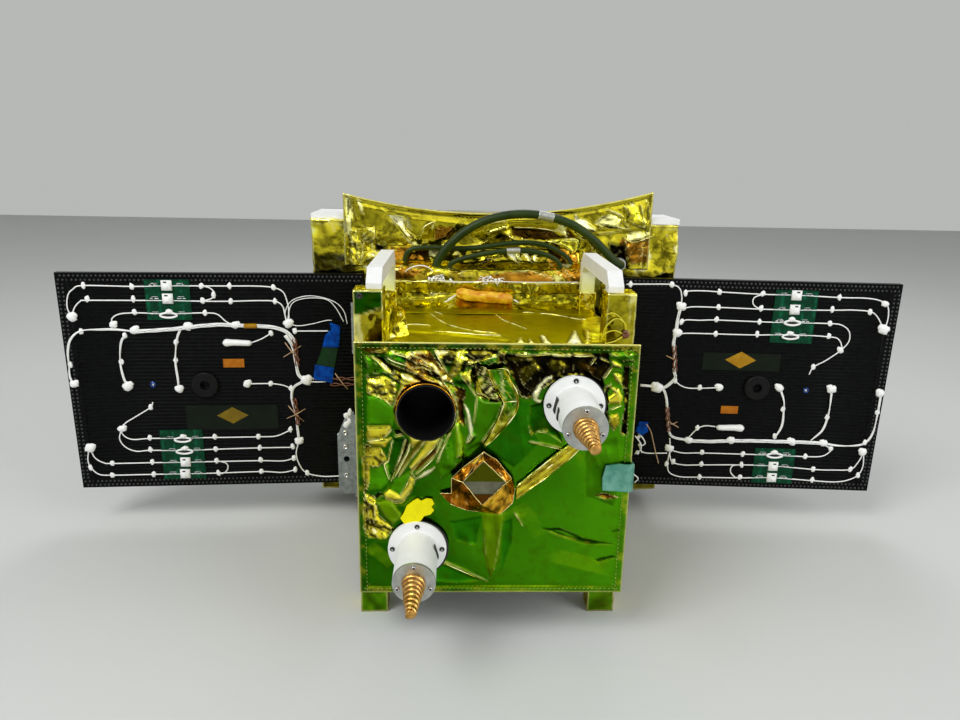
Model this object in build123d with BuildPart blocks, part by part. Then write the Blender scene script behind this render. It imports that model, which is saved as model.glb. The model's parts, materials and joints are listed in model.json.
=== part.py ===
"""Small box satellite with two hinged solar wings, as it stands on its feet in a clean room.

Frame: origin on the floor plane at the centre of the four feet, +X to the right,
+Y towards the rear, +Z up. All sizes are in millimetres.
"""
import math
import os

from build123d import *

# Bus box between the front blanket and the rear bay
BUS_W = 292.0
BUS_Z0 = 74.0
BUS_H = 268.0
BASE_PLATE_T = 4.0
BLANKET_T = 4.0
FIT_GAP = 0.3

# Front blanket: its hem hangs below the base plate and its lip stands above the deck
FRONT_T = 6.0
FRONT_HEM_H = 4.0
FRONT_LIP_H = 19.0

# Corner posts, rear legs and feet
FRONT_TO_POST = 68.0
POST_PROUD_W = 8.0
POST_W = 32.0
POST_D = 30.0
POST_ABOVE_DECK_H = 61.0
REAR_LEG_W = 40.0
REAR_LEG_INSET = 26.7
FOOT_PAD_H = 6.0
FOOT_PAD_R = 13.0
FOOT_HOLE_R = 2.5

# Rear bay, a wide and shallow box that stands a little off centre
BAY_SHIFT_X = 14.0
BAY_W = 534.0
BAY_D = 94.0
BAY_Z0 = 40.0
BAY_H = 422.0
BAY_TO_PANEL_GAP = 5.9
TOP_PLATE_T = 8.0
SUBSTRATE_T = 8.0
REAR_CELL_COLS = 6
REAR_CELL_ROWS = 10

# Saddle screen on the bay's front, and the harness shelf in front of it
SCREEN_W = 444.0
SCREEN_SHIFT_X = 16.0
SCREEN_T = 5.0
SCREEN_LEFT_H = 37.0
SCREEN_LOW_H = 12.0
SCREEN_RIGHT_H = 46.0
SCREEN_LOW_X = -20.0
SCREEN_ABOVE_SHELF_H = 14.0
SHELF_EDGE_GAP = 5.0
SHELF_D = 44.0
SHELF_H = 36.0
SHELF_EDGE_R = 8.0

# Solar wings. Along a wing, distances run out from its hinge axis
HINGE_TO_PLATE_GAP = 18.0
AXIS_TO_PANEL = 14.0
PANEL_FRONT_DEPTH = 318.6
SWEEP_DEG = 3.5
PANEL_ROOT_X = 6.0
PANEL_L = 424.5
PANEL_BELOW_BUS_H = 14.0
PANEL_H = 326.0
PANEL_T = 10.0
BOARD_X = 249.0
BOARD_W = 62.0
BOARD_T = 2.0
BOSS_X = 238.5
BOSS_R = 19.0
BOSS_H = 6.0
BOSS_EYE_R = 7.0
BOSS_CHAMFER = 1.5
BOSS_LIFT_H = 1.5
CELL_T = 1.2
CELL_GAP = 2.0
CELL_EDGE_GAP = 6.0
CELL_ROOT_GAP = 102.0
CELL_COLS = 4
CELL_ROWS = 8

# Wiring on the wings' fronts
WIRE_W = 2.2
WIRE_H = 2.0
TRUNK_W = 7.0
TRUNK_H = 6.0
DOT_R = 4.3
DOT_H = 3.0
DIODE_W = 11.0
DIODE_H = 7.0
DIODE_T = 3.0

# Hinge hardware
BARREL_R = 6.0
PIN_R = 2.5
PIN_CLEARANCE = 0.05
KNUCKLE_GAP = 1.0
LEAF_T = 3.0
LEAF_X = 24.0
LEAF_W = 26.0
LEAF_TAPER_W = 10.0
LEAF_TAPER_H = 40.0
LEAF_FLANGE_H = 13.0
LEAF_HOLE_R = 4.5
LEAF_HOLE_H = 58.0
ROOT_LEAF_GAP = 2.0
SIDE_PLATE_T = 4.0
SIDE_PLATE_D = 42.0

# Sensor aperture in the front, placed from the left side and the base
APERTURE_FROM_SIDE = 75.0
APERTURE_FROM_BASE = 216.0
APERTURE_R = 31.0
APERTURE_WALL_T = 1.6
APERTURE_D = 96.0
APERTURE_PROUD_L = 5.0
LENS_T = 5.0
LENS_FROM_FLOOR = 8.0

# Sun sensor under a folded foil pyramid
SENSOR_X = -12.5
SENSOR_FROM_BASE = 132.0
SENSOR_R = 36.0
SENSOR_TOP_R = 21.0
SENSOR_H = 20.0
SENSOR_SIDES = 5
WINDOW_R = 17.0
WINDOW_T = 2.0

# Helix antennas
FLANGE_R = 32.5
FLANGE_T = 5.0
CAN_R = 22.5
CAN_L = 65.0
CAP_T = 3.0
HELIX_R0 = 13.0
HELIX_R1 = 5.0
HELIX_L = 54.0
HELIX_TURNS = 8
SPIGOT_R = 20.0

# Lifting handles, along the depth of the bus, from a post to a base near the shelf
HANDLE_FROM_POST_X = 6.0
HANDLE_BAR_W = 17.5
HANDLE_ABOVE_POST_H = 23.0
HANDLE_BEND = 16.0
HANDLE_TO_SHELF_GAP = 21.5
HANDLE_BASE_H = 30.0
HANDLE_BASE_W = 22.0

# Cables over the deck
CABLE_R = 6.0
THIN_CABLE_R = 3.7
CABLE_TO_SCREEN = 26.0
BACK_CABLE_TO_SCREEN = 12.0
GLAND_L = 10.0
GLAND_WALL_T = 3.0
GLAND_ABOVE_PANEL_H = 19.0

# Taped bundle lying on the deck
BUNDLE_X = -5.0
BUNDLE_L = 74.0
BUNDLE_R = 7.5
BUNDLE_TO_SHELF_GAP = 6.0

# Antennas: name, distance of the axis from the right or left side, height over the base
ANTENNAS = (
    ("upper", 67.5, "right", 226.0),
    ("lower", 65.5, "left", 56.0),
)

# Boards on the left wing: lower edge and height, over the panel's lower edge
BOARDS = (
    (12.0, 79.0),
    (259.0, 58.0),
)

# Hinges: name, lowest knuckle, knuckle length, leaf foot and leaf head over the panel's lower edge
HINGES = (
    ("lower", 2.0, 24.0, -18.0, 77.0),
    ("upper", 212.0, 18.0, 208.0, 285.0),
)

# Wires on the left wing: width, then points as distance along the wing and height on the panel
WIRES = (
    (WIRE_W, ((414, 263), (404, 296), (393, 308), (133, 308), (116, 282), (114, 254))),
    (WIRE_W, ((391, 288), (131, 288), (114, 254))),
    (WIRE_W, ((359, 252), (349, 268), (196, 268), (189, 251))),
    (WIRE_W, ((343, 240), (353, 197), (349, 160))),
    (WIRE_W, ((268, 245), (276, 222), (277, 155))),
    (WIRE_W, ((179, 162), (145, 162), (114, 153))),
    (WIRE_W, ((365, 93), (326, 80), (167, 77), (111, 98))),
    (WIRE_W, ((365, 93), (327, 60), (167, 57), (109, 70))),
    (WIRE_W, ((414, 63), (384, 41), (167, 37), (110, 45))),
    (WIRE_W, ((416, 34), (385, 21), (168, 17), (98, 18))),
    (WIRE_W, ((110, 45), (98, 18), (54, 11))),
    (TRUNK_W, ((424, 164), (426, 194), (425, 225), (404, 242), (256, 250), (121, 246), (111, 227))),
    (TRUNK_W, ((111, 227), (106, 190), (94, 168), (114, 153), (111, 98), (109, 88), (110, 45))),
)

# Adhesive dots on the left wing's wires: height of the row, then distances along the wing
DOTS = (
    (308, (393, 328, 232, 195, 133)),
    (288, (391, 329, 232, 194, 131)),
    (268, (349, 328, 231, 196)),
    (79, (326, 233, 167)),
    (60, (327, 231, 167)),
    (39, (384, 326, 231, 167)),
    (19, (385, 326, 231, 168)),
)
DIODE_X = 279.0

# Places that follow from the sizes above
SWEEP = math.radians(SWEEP_DEG)
SIDE_X = BUS_W / 2 + BLANKET_T
POST_X = SIDE_X + POST_PROUD_W - POST_W / 2
PANEL_BACK = AXIS_TO_PANEL + PANEL_T + CELL_T
FRONT_TO_AXIS = PANEL_FRONT_DEPTH - AXIS_TO_PANEL
FRONT_TO_BAY = FRONT_TO_AXIS + PANEL_BACK + BAY_TO_PANEL_GAP
FRONT_TO_POST_MID = FRONT_TO_POST + POST_D / 2
FOOT_SPACING_X = 2 * POST_X
FOOT_SPACING_Y = FRONT_TO_BAY + BAY_D - REAR_LEG_INSET - FRONT_TO_POST_MID
POST_Y = -FOOT_SPACING_Y / 2
FRONT_Y = POST_Y - FRONT_TO_POST_MID
BUS_Y0 = FRONT_Y + FRONT_T
HINGE_X = SIDE_X + SIDE_PLATE_T + HINGE_TO_PLATE_GAP
HINGE_Y = FRONT_Y + FRONT_TO_AXIS
BAY_Y0 = FRONT_Y + FRONT_TO_BAY
BAY_Y1 = BAY_Y0 + BAY_D
BAY_X0 = BAY_SHIFT_X - BAY_W / 2
BAY_X1 = BAY_SHIFT_X + BAY_W / 2
BAY_TOP_Z = BAY_Z0 + BAY_H
BUS_TOP_Z = BUS_Z0 + BUS_H
DECK_Z = BUS_TOP_Z + BLANKET_T
POST_TOP_Z = DECK_Z + POST_ABOVE_DECK_H
SHELF_Z = DECK_Z + SHELF_H
SCREEN_Y0 = BAY_Y0 - SCREEN_T
SHELF_Y0 = SCREEN_Y0 - SHELF_D
PANEL_Z0 = BUS_Z0 - PANEL_BELOW_BUS_H
PANEL_Z1 = PANEL_Z0 + PANEL_H
PANEL_TIP_X = PANEL_ROOT_X + PANEL_L
APERTURE_X = APERTURE_FROM_SIDE - SIDE_X
APERTURE_Z = BUS_Z0 + APERTURE_FROM_BASE
SENSOR_Z = BUS_Z0 + SENSOR_FROM_BASE

os.makedirs("parts", exist_ok=True)


def save(part, name):
    """Label a finished piece and write it to its own file."""
    part.label = name
    export_step(part, f"parts/{name}.step")


def box_between(x0, x1, y0, y1, z0, z1):
    """A rectangular prism between two opposite corners, for the block in hand."""
    with BuildSketch(Plane.XY.offset(z0)) as outline:
        with Locations(((x0 + x1) / 2, (y0 + y1) / 2)):
            Rectangle(x1 - x0, y1 - y0)
    extrude(outline.sketch, amount=z1 - z0)


def facing_plane(x, y, z):
    """A plane that faces the front, with its x to the right."""
    return Plane(origin=(x, y, z), x_dir=(1, 0, 0), z_dir=(0, -1, 0))


def facing_disc(x, y, z, radius, length):
    """A round disc whose axis runs front to back, from y towards the front."""
    with BuildSketch(facing_plane(x, y, z)) as outline:
        Circle(radius)
    extrude(outline.sketch, amount=length)


def notch_for_posts(z0, height):
    """Cut the block in hand round both front posts."""
    with BuildSketch(Plane.XY.offset(z0)) as outline:
        with Locations((-POST_X, POST_Y), (POST_X, POST_Y)):
            Rectangle(POST_W + 2 * FIT_GAP, POST_D + 2 * FIT_GAP)
    extrude(outline.sketch, amount=height, mode=Mode.SUBTRACT)


# Posts, rear legs and feet
for side, side_name in ((-1, "left"), (1, "right")):
    x = side * POST_X
    with BuildPart() as post:
        box_between(x - POST_W / 2, x + POST_W / 2, POST_Y - POST_D / 2, POST_Y + POST_D / 2,
                    FOOT_PAD_H, POST_TOP_Z)
        fillet(post.edges().filter_by(Axis.Z), radius=2.0)
    save(post.part, f"{side_name}_front_post")

    with BuildPart() as rear_leg:
        box_between(x - REAR_LEG_W / 2, x + REAR_LEG_W / 2, -POST_Y - REAR_LEG_W / 2,
                    -POST_Y + REAR_LEG_W / 2, FOOT_PAD_H, BAY_Z0)
        fillet(rear_leg.edges().filter_by(Axis.Z), radius=3.0)
    save(rear_leg.part, f"{side_name}_rear_leg")

with BuildPart() as feet:
    with BuildSketch(Plane.XY):
        with GridLocations(FOOT_SPACING_X, FOOT_SPACING_Y, 2, 2):
            Circle(FOOT_PAD_R)
            Circle(FOOT_HOLE_R, mode=Mode.SUBTRACT)
    extrude(amount=FOOT_PAD_H)
save(feet.part, "foot_pads")

# Bus box, notched round the posts and bored for the sensor
with BuildPart() as bus_box:
    box_between(-BUS_W / 2, BUS_W / 2, BUS_Y0, BAY_Y0, BUS_Z0 + BASE_PLATE_T, BUS_TOP_Z)
    notch_for_posts(BUS_Z0, BUS_H)
    with BuildSketch(facing_plane(APERTURE_X, BUS_Y0, APERTURE_Z)):
        Circle(APERTURE_R + FIT_GAP)
    extrude(amount=-APERTURE_D, mode=Mode.SUBTRACT)
save(bus_box.part, "bus_box")

with BuildPart() as base_plate:
    box_between(-SIDE_X, SIDE_X, BUS_Y0, BAY_Y0, BUS_Z0, BUS_Z0 + BASE_PLATE_T)
    notch_for_posts(BUS_Z0, BASE_PLATE_T)
save(base_plate.part, "base_plate")

# Blankets on the bus
for side, side_name in ((-1, "left"), (1, "right")):
    with BuildPart() as side_blanket:
        inner, outer = sorted((side * BUS_W / 2, side * SIDE_X))
        for y0, y1 in (
            (BUS_Y0, POST_Y - POST_D / 2 - FIT_GAP),
            (POST_Y + POST_D / 2 + FIT_GAP, BAY_Y0),
        ):
            box_between(inner, outer, y0, y1, BUS_Z0 + BASE_PLATE_T, BUS_TOP_Z)
    save(side_blanket.part, f"{side_name}_side_blanket")

with BuildPart() as deck_blanket:
    box_between(-SIDE_X, SIDE_X, BUS_Y0, BAY_Y0, BUS_TOP_Z, DECK_Z)
    notch_for_posts(BUS_TOP_Z, BLANKET_T)
save(deck_blanket.part, "deck_blanket")


def antenna_place(from_side, side_name, from_base):
    """x and z of an antenna's axis."""
    x = SIDE_X - from_side
    if side_name == "left":
        x = -x
    return x, BUS_Z0 + from_base


with BuildPart() as front_blanket:
    box_between(-SIDE_X, SIDE_X, FRONT_Y, BUS_Y0, BUS_Z0 - FRONT_HEM_H, DECK_Z + FRONT_LIP_H)
    with BuildSketch(facing_plane(0, FRONT_Y, 0)):
        with Locations((APERTURE_X, APERTURE_Z)):
            Circle(APERTURE_R + FIT_GAP)
        for _, *place in ANTENNAS:
            with Locations(antenna_place(*place)):
                Circle(SPIGOT_R + FIT_GAP)
        with Locations((SENSOR_X, SENSOR_Z)):
            Circle(SENSOR_TOP_R)
    extrude(amount=-FRONT_T, mode=Mode.SUBTRACT)
save(front_blanket.part, "front_blanket")

# Antennas: flange with a spigot, can, cap and a stepped cone of helix turns
for name, *place in ANTENNAS:
    x, z = antenna_place(*place)
    with BuildPart() as flange:
        facing_disc(x, BUS_Y0, z, SPIGOT_R, FRONT_T)
        facing_disc(x, FRONT_Y, z, FLANGE_R, FLANGE_T)
    save(flange.part, f"{name}_antenna_flange")

    with BuildPart() as can:
        facing_disc(x, FRONT_Y - FLANGE_T, z, CAN_R, CAN_L)
    save(can.part, f"{name}_antenna_can")

    with BuildPart() as cap:
        facing_disc(x, FRONT_Y - FLANGE_T - CAN_L, z, CAN_R, CAP_T)
    save(cap.part, f"{name}_antenna_cap")

    helix_y = FRONT_Y - FLANGE_T - CAN_L - CAP_T
    pitch = HELIX_L / HELIX_TURNS
    with BuildPart() as helix:
        for turn in range(HELIX_TURNS):
            radius = HELIX_R0 + (HELIX_R1 - HELIX_R0) * turn / (HELIX_TURNS - 1)
            facing_disc(x, helix_y - turn * pitch, z, radius, pitch)
    save(helix.part, f"{name}_antenna_helix")

# Sensor aperture: a black tube with a lens near its floor
baffle_floor_y = BUS_Y0 + APERTURE_D
baffle_mouth_y = FRONT_Y - APERTURE_PROUD_L
with BuildPart() as baffle:
    facing_disc(APERTURE_X, baffle_floor_y, APERTURE_Z, APERTURE_R, baffle_floor_y - baffle_mouth_y)
    with BuildSketch(facing_plane(APERTURE_X, baffle_mouth_y, APERTURE_Z)):
        Circle(APERTURE_R - APERTURE_WALL_T)
    extrude(amount=-(baffle_floor_y - baffle_mouth_y - LENS_FROM_FLOOR), mode=Mode.SUBTRACT)
save(baffle.part, "aperture_baffle")

with BuildPart() as lens:
    facing_disc(APERTURE_X, baffle_floor_y - LENS_FROM_FLOOR, APERTURE_Z,
                APERTURE_R - APERTURE_WALL_T - FIT_GAP, LENS_T)
save(lens.part, "aperture_lens")

# Sun sensor: a five-sided frustum with a small window on top
with BuildPart() as sensor:
    facing_disc(SENSOR_X, BUS_Y0, SENSOR_Z, SENSOR_TOP_R - FIT_GAP, FRONT_T)
    with BuildSketch(facing_plane(SENSOR_X, FRONT_Y, SENSOR_Z)):
        RegularPolygon(SENSOR_R, SENSOR_SIDES, rotation=90)
    with BuildSketch(facing_plane(SENSOR_X, FRONT_Y - SENSOR_H, SENSOR_Z)):
        RegularPolygon(SENSOR_TOP_R, SENSOR_SIDES, rotation=90)
    loft()
save(sensor.part, "sun_sensor_housing")

with BuildPart() as window:
    facing_disc(SENSOR_X, FRONT_Y - SENSOR_H, SENSOR_Z, WINDOW_R, WINDOW_T)
save(window.part, "sun_sensor_window")

# Rear bay
with BuildPart() as bay_box:
    box_between(BAY_X0 + BLANKET_T, BAY_X1 - BLANKET_T, BAY_Y0 + BLANKET_T, BAY_Y1,
                BAY_Z0 + BLANKET_T, BAY_TOP_Z)
save(bay_box.part, "rear_bay_box")

with BuildPart() as bay_blanket:
    box_between(BAY_X0, BAY_X1, BAY_Y0, BAY_Y1, BAY_Z0, BAY_TOP_Z)
    with BuildSketch(Plane.XY.offset(BAY_Z0 + BLANKET_T)):
        with Locations((BAY_SHIFT_X, (BAY_Y0 + BLANKET_T + BAY_Y1) / 2)):
            Rectangle(BAY_W - 2 * BLANKET_T, BAY_D - BLANKET_T)
    extrude(amount=BAY_H, mode=Mode.SUBTRACT)
save(bay_blanket.part, "rear_bay_blanket")

with BuildPart() as top_plate:
    box_between(BAY_X0, BAY_X1, BAY_Y0, BAY_Y1, BAY_TOP_Z, BAY_TOP_Z + TOP_PLATE_T)
save(top_plate.part, "rear_top_plate")

with BuildPart() as rear_substrate:
    box_between(BAY_X0, BAY_X1, BAY_Y1, BAY_Y1 + SUBSTRATE_T, BAY_Z0, BAY_TOP_Z + TOP_PLATE_T)
save(rear_substrate.part, "rear_solar_substrate")


def cell_grid(plane, width, height, columns, rows):
    """Rectangular solar cells laid out on a plane, centred on its origin."""
    cell_w = (width - (columns - 1) * CELL_GAP) / columns
    cell_h = (height - (rows - 1) * CELL_GAP) / rows
    with BuildPart() as cells:
        with BuildSketch(plane):
            with GridLocations(cell_w + CELL_GAP, cell_h + CELL_GAP, columns, rows):
                Rectangle(cell_w, cell_h)
        extrude(amount=CELL_T)
    return cells.part


rear_face_h = BAY_H + TOP_PLATE_T
rear_plane = Plane(origin=(BAY_SHIFT_X, BAY_Y1 + SUBSTRATE_T, BAY_Z0 + rear_face_h / 2),
                   x_dir=(-1, 0, 0), z_dir=(0, 1, 0))
save(cell_grid(rear_plane, BAY_W - 2 * CELL_EDGE_GAP, rear_face_h - 2 * CELL_EDGE_GAP,
               REAR_CELL_COLS, REAR_CELL_ROWS), "rear_solar_cells")

# Shelf and saddle screen
with BuildPart() as shelf:
    shelf_x = SIDE_X - SHELF_EDGE_GAP
    box_between(-shelf_x, shelf_x, SHELF_Y0, SCREEN_Y0, DECK_Z, SHELF_Z)
    fillet(shelf.edges().filter_by(Axis.X).group_by(Axis.Z)[-1], radius=SHELF_EDGE_R)
save(shelf.part, "harness_shelf")

SCREEN_X0 = SCREEN_SHIFT_X - SCREEN_W / 2
SCREEN_X1 = SCREEN_SHIFT_X + SCREEN_W / 2
SCREEN_Z0 = SHELF_Z + SCREEN_ABOVE_SHELF_H
with BuildPart() as screen:
    with BuildSketch(facing_plane(0, SCREEN_Y0, 0)):
        with BuildLine():
            left_top = (SCREEN_X0, BAY_TOP_Z + SCREEN_LEFT_H)
            right_top = (SCREEN_X1, BAY_TOP_Z + SCREEN_RIGHT_H)
            ThreePointArc(left_top, (SCREEN_LOW_X, BAY_TOP_Z + SCREEN_LOW_H), right_top)
            Polyline(right_top, (SCREEN_X1, SCREEN_Z0), (SCREEN_X0, SCREEN_Z0), left_top)
        make_face()
    extrude(amount=-SCREEN_T)
save(screen.part, "saddle_screen")


# Solar wings
def wing_point(side, along, back, z):
    """A point of a wing at rest: distance along it, distance behind its hinge axis, height."""
    x = side * (HINGE_X + along * math.cos(SWEEP) + back * math.sin(SWEEP))
    y = HINGE_Y - along * math.sin(SWEEP) + back * math.cos(SWEEP)
    return (x, y, z)


def wing_front_plane(side, along, back, z):
    """A plane that faces the wing's front, with its x upward."""
    normal = (-side * math.sin(SWEEP), -math.cos(SWEEP), 0)
    return Plane(origin=wing_point(side, along, back, z), x_dir=(0, 0, 1), z_dir=normal)


def wing_block(side, along0, along1, back0, back1, z0, z1, mode=Mode.ADD):
    """A rectangular prism laid out along a wing, for the block in hand."""
    x_dir = (side * math.cos(SWEEP), -math.sin(SWEEP), 0)
    plan = Plane(origin=(side * HINGE_X, HINGE_Y, z0), x_dir=x_dir, z_dir=(0, 0, 1))
    with BuildSketch(plan) as outline:
        with Locations(((along0 + along1) / 2, side * (back0 + back1) / 2)):
            Rectangle(along1 - along0, back1 - back0)
    extrude(outline.sketch, amount=z1 - z0, mode=mode)


def panel_height(side, height):
    """z of a height given on the left wing; the right wing is the same one turned end for end."""
    if side < 0:
        return PANEL_Z0 + height
    return PANEL_Z1 - height


def board_block(side, low, height, mode=Mode.ADD):
    """One board on a wing's front."""
    z0, z1 = sorted((panel_height(side, low), panel_height(side, low + height)))
    wing_block(side, BOARD_X, BOARD_X + BOARD_W, AXIS_TO_PANEL - BOARD_T, AXIS_TO_PANEL, z0, z1, mode)


def face_place(side, along, height):
    """A place on a wing's front, in the axes of wing_front_plane from the hinge axis."""
    return (panel_height(side, height), -side * along)


def raised_on_panel(side, shapes, thickness):
    """Raise shapes, drawn by a function, from the wing's front to a thickness over the boards."""
    with BuildSketch(wing_front_plane(side, 0, AXIS_TO_PANEL, 0)) as outline:
        shapes()
    extrude(outline.sketch, amount=BOARD_T + thickness)


def wire_run(side, points, width):
    """A flat run of wire of one width through places on a wing's front."""
    places = [Vector(*face_place(side, *point)) for point in points]
    for start, end in zip(places, places[1:]):
        run = end - start
        turn = math.degrees(math.atan2(run.Y, run.X))
        middle = (start + end) / 2
        with Locations(Location((middle.X, middle.Y, 0), (0, 0, turn))):
            SlotCenterToCenter(run.length, width)


def wires_of_width(side, wanted):
    """Every run of one width on a wing."""
    for width, points in WIRES:
        if width == wanted:
            wire_run(side, points, width)


def dots(side):
    """The round adhesive dots on a wing's wires."""
    for height, distances in DOTS:
        for along in distances:
            with Locations(face_place(side, along, height)):
                Circle(DOT_R)


def diodes(side):
    """One diode on each row of wires, where the row crosses a board."""
    for height, _ in DOTS:
        with Locations(face_place(side, DIODE_X, height)):
            Rectangle(DIODE_H, DIODE_W)


for side, side_name in ((-1, "left"), (1, "right")):
    with BuildPart() as panel:
        wing_block(side, PANEL_ROOT_X, PANEL_TIP_X, AXIS_TO_PANEL, AXIS_TO_PANEL + PANEL_T,
                   PANEL_Z0, PANEL_Z1)
    save(panel.part, f"{side_name}_wing_panel")

    with BuildPart() as boards:
        for low, height in BOARDS:
            board_block(side, low, height)
    save(boards.part, f"{side_name}_wing_boards")

    with BuildPart() as harness:
        raised_on_panel(side, lambda: wires_of_width(side, WIRE_W), WIRE_H)
        raised_on_panel(side, lambda: wires_of_width(side, TRUNK_W), TRUNK_H - BOARD_T)
        raised_on_panel(side, lambda: dots(side), DOT_H)
        raised_on_panel(side, lambda: diodes(side), DIODE_T)
        for low, height in BOARDS:
            board_block(side, low, height, Mode.SUBTRACT)
    save(harness.part, f"{side_name}_wing_harness")

    boss_z = (PANEL_Z0 + PANEL_Z1) / 2 + side * BOSS_LIFT_H
    with BuildPart() as boss:
        with BuildSketch(wing_front_plane(side, BOSS_X, AXIS_TO_PANEL, boss_z)):
            Circle(BOSS_R)
            Circle(BOSS_EYE_R, mode=Mode.SUBTRACT)
        extrude(amount=BOSS_H)
        chamfer(boss.edges().filter_by(GeomType.CIRCLE).sort_by(Axis.Y)[:1], length=BOSS_CHAMFER)
    save(boss.part, f"{side_name}_wing_boss")

    cell_x0 = PANEL_ROOT_X + CELL_ROOT_GAP
    cells_w = PANEL_TIP_X - CELL_EDGE_GAP - cell_x0
    back = wing_point(side, cell_x0 + cells_w / 2, AXIS_TO_PANEL + PANEL_T, (PANEL_Z0 + PANEL_Z1) / 2)
    cell_plane = Plane(origin=back, x_dir=(-math.cos(SWEEP), side * math.sin(SWEEP), 0),
                       z_dir=(side * math.sin(SWEEP), math.cos(SWEEP), 0))
    save(cell_grid(cell_plane, cells_w, PANEL_H - 2 * CELL_EDGE_GAP, CELL_COLS, CELL_ROWS),
         f"{side_name}_wing_cells")

    for hinge_name, knuckle_low, knuckle_h, leaf_low, leaf_high in HINGES:
        knuckle_z = PANEL_Z0 + knuckle_low
        leaf_z0 = PANEL_Z0 + leaf_low
        leaf_z1 = PANEL_Z0 + leaf_high
        wing_z0 = knuckle_z + knuckle_h + KNUCKLE_GAP
        wing_z1 = wing_z0 + knuckle_h
        top_z = wing_z1 + KNUCKLE_GAP
        with BuildPart() as leaf:
            if hinge_name == "lower":
                taper_z = leaf_z1 + LEAF_TAPER_H
                with BuildSketch(wing_front_plane(side, LEAF_X, AXIS_TO_PANEL, 0)):
                    with BuildLine():
                        Polyline((leaf_z0, 0), (leaf_z0, -side * LEAF_W), (leaf_z1, -side * LEAF_W),
                                 (taper_z, -side * LEAF_TAPER_W), (taper_z, 0), close=True)
                    make_face()
                    with Locations((leaf_z0 + LEAF_HOLE_H, -side * LEAF_W / 2)):
                        Circle(LEAF_HOLE_R, mode=Mode.SUBTRACT)
                extrude(amount=LEAF_T)
                wing_block(side, LEAF_X - LEAF_T, LEAF_X, AXIS_TO_PANEL - LEAF_T - LEAF_FLANGE_H,
                           AXIS_TO_PANEL, leaf_z0, taper_z)
                wing_block(side, 0, LEAF_X - LEAF_T, -LEAF_T, LEAF_T, wing_z0, wing_z1)
            else:
                root_x = BARREL_R + ROOT_LEAF_GAP
                wing_block(side, root_x, LEAF_X, AXIS_TO_PANEL - LEAF_T, AXIS_TO_PANEL, leaf_z0, leaf_z1)
                wing_block(side, root_x, root_x + LEAF_T, 0, AXIS_TO_PANEL - LEAF_T, wing_z0, wing_z1)
                wing_block(side, 0, root_x + LEAF_T, -LEAF_T, LEAF_T, wing_z0, wing_z1)
            with BuildSketch(Plane(origin=(side * HINGE_X, HINGE_Y, wing_z0), z_dir=(0, 0, 1))):
                Circle(BARREL_R)
            extrude(amount=knuckle_h)
            with BuildSketch(Plane(origin=(side * HINGE_X, HINGE_Y, wing_z0), z_dir=(0, 0, 1))):
                Circle(PIN_R + PIN_CLEARANCE)
            extrude(amount=knuckle_h, mode=Mode.SUBTRACT)
        save(leaf.part, f"{side_name}_{hinge_name}_hinge_leaf")

        with BuildPart() as bracket:
            near, far = sorted((side * SIDE_X, side * (SIDE_X + SIDE_PLATE_T)))
            box_between(near, far, HINGE_Y - SIDE_PLATE_D / 2, HINGE_Y + SIDE_PLATE_D / 2,
                        max(knuckle_z, BUS_Z0), top_z + knuckle_h)
            for z0 in (knuckle_z, top_z):
                near, far = sorted((side * (SIDE_X + SIDE_PLATE_T), side * HINGE_X))
                box_between(near, far, HINGE_Y - LEAF_T, HINGE_Y + LEAF_T, z0, z0 + knuckle_h)
                with BuildSketch(Plane(origin=(side * HINGE_X, HINGE_Y, z0), z_dir=(0, 0, 1))):
                    Circle(BARREL_R)
                extrude(amount=knuckle_h)
            with BuildSketch(Plane(origin=(side * HINGE_X, HINGE_Y, knuckle_z), z_dir=(0, 0, 1))):
                Circle(PIN_R)
            extrude(amount=top_z + knuckle_h - knuckle_z)
        save(bracket.part, f"{side_name}_{hinge_name}_hinge_bracket")

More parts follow.
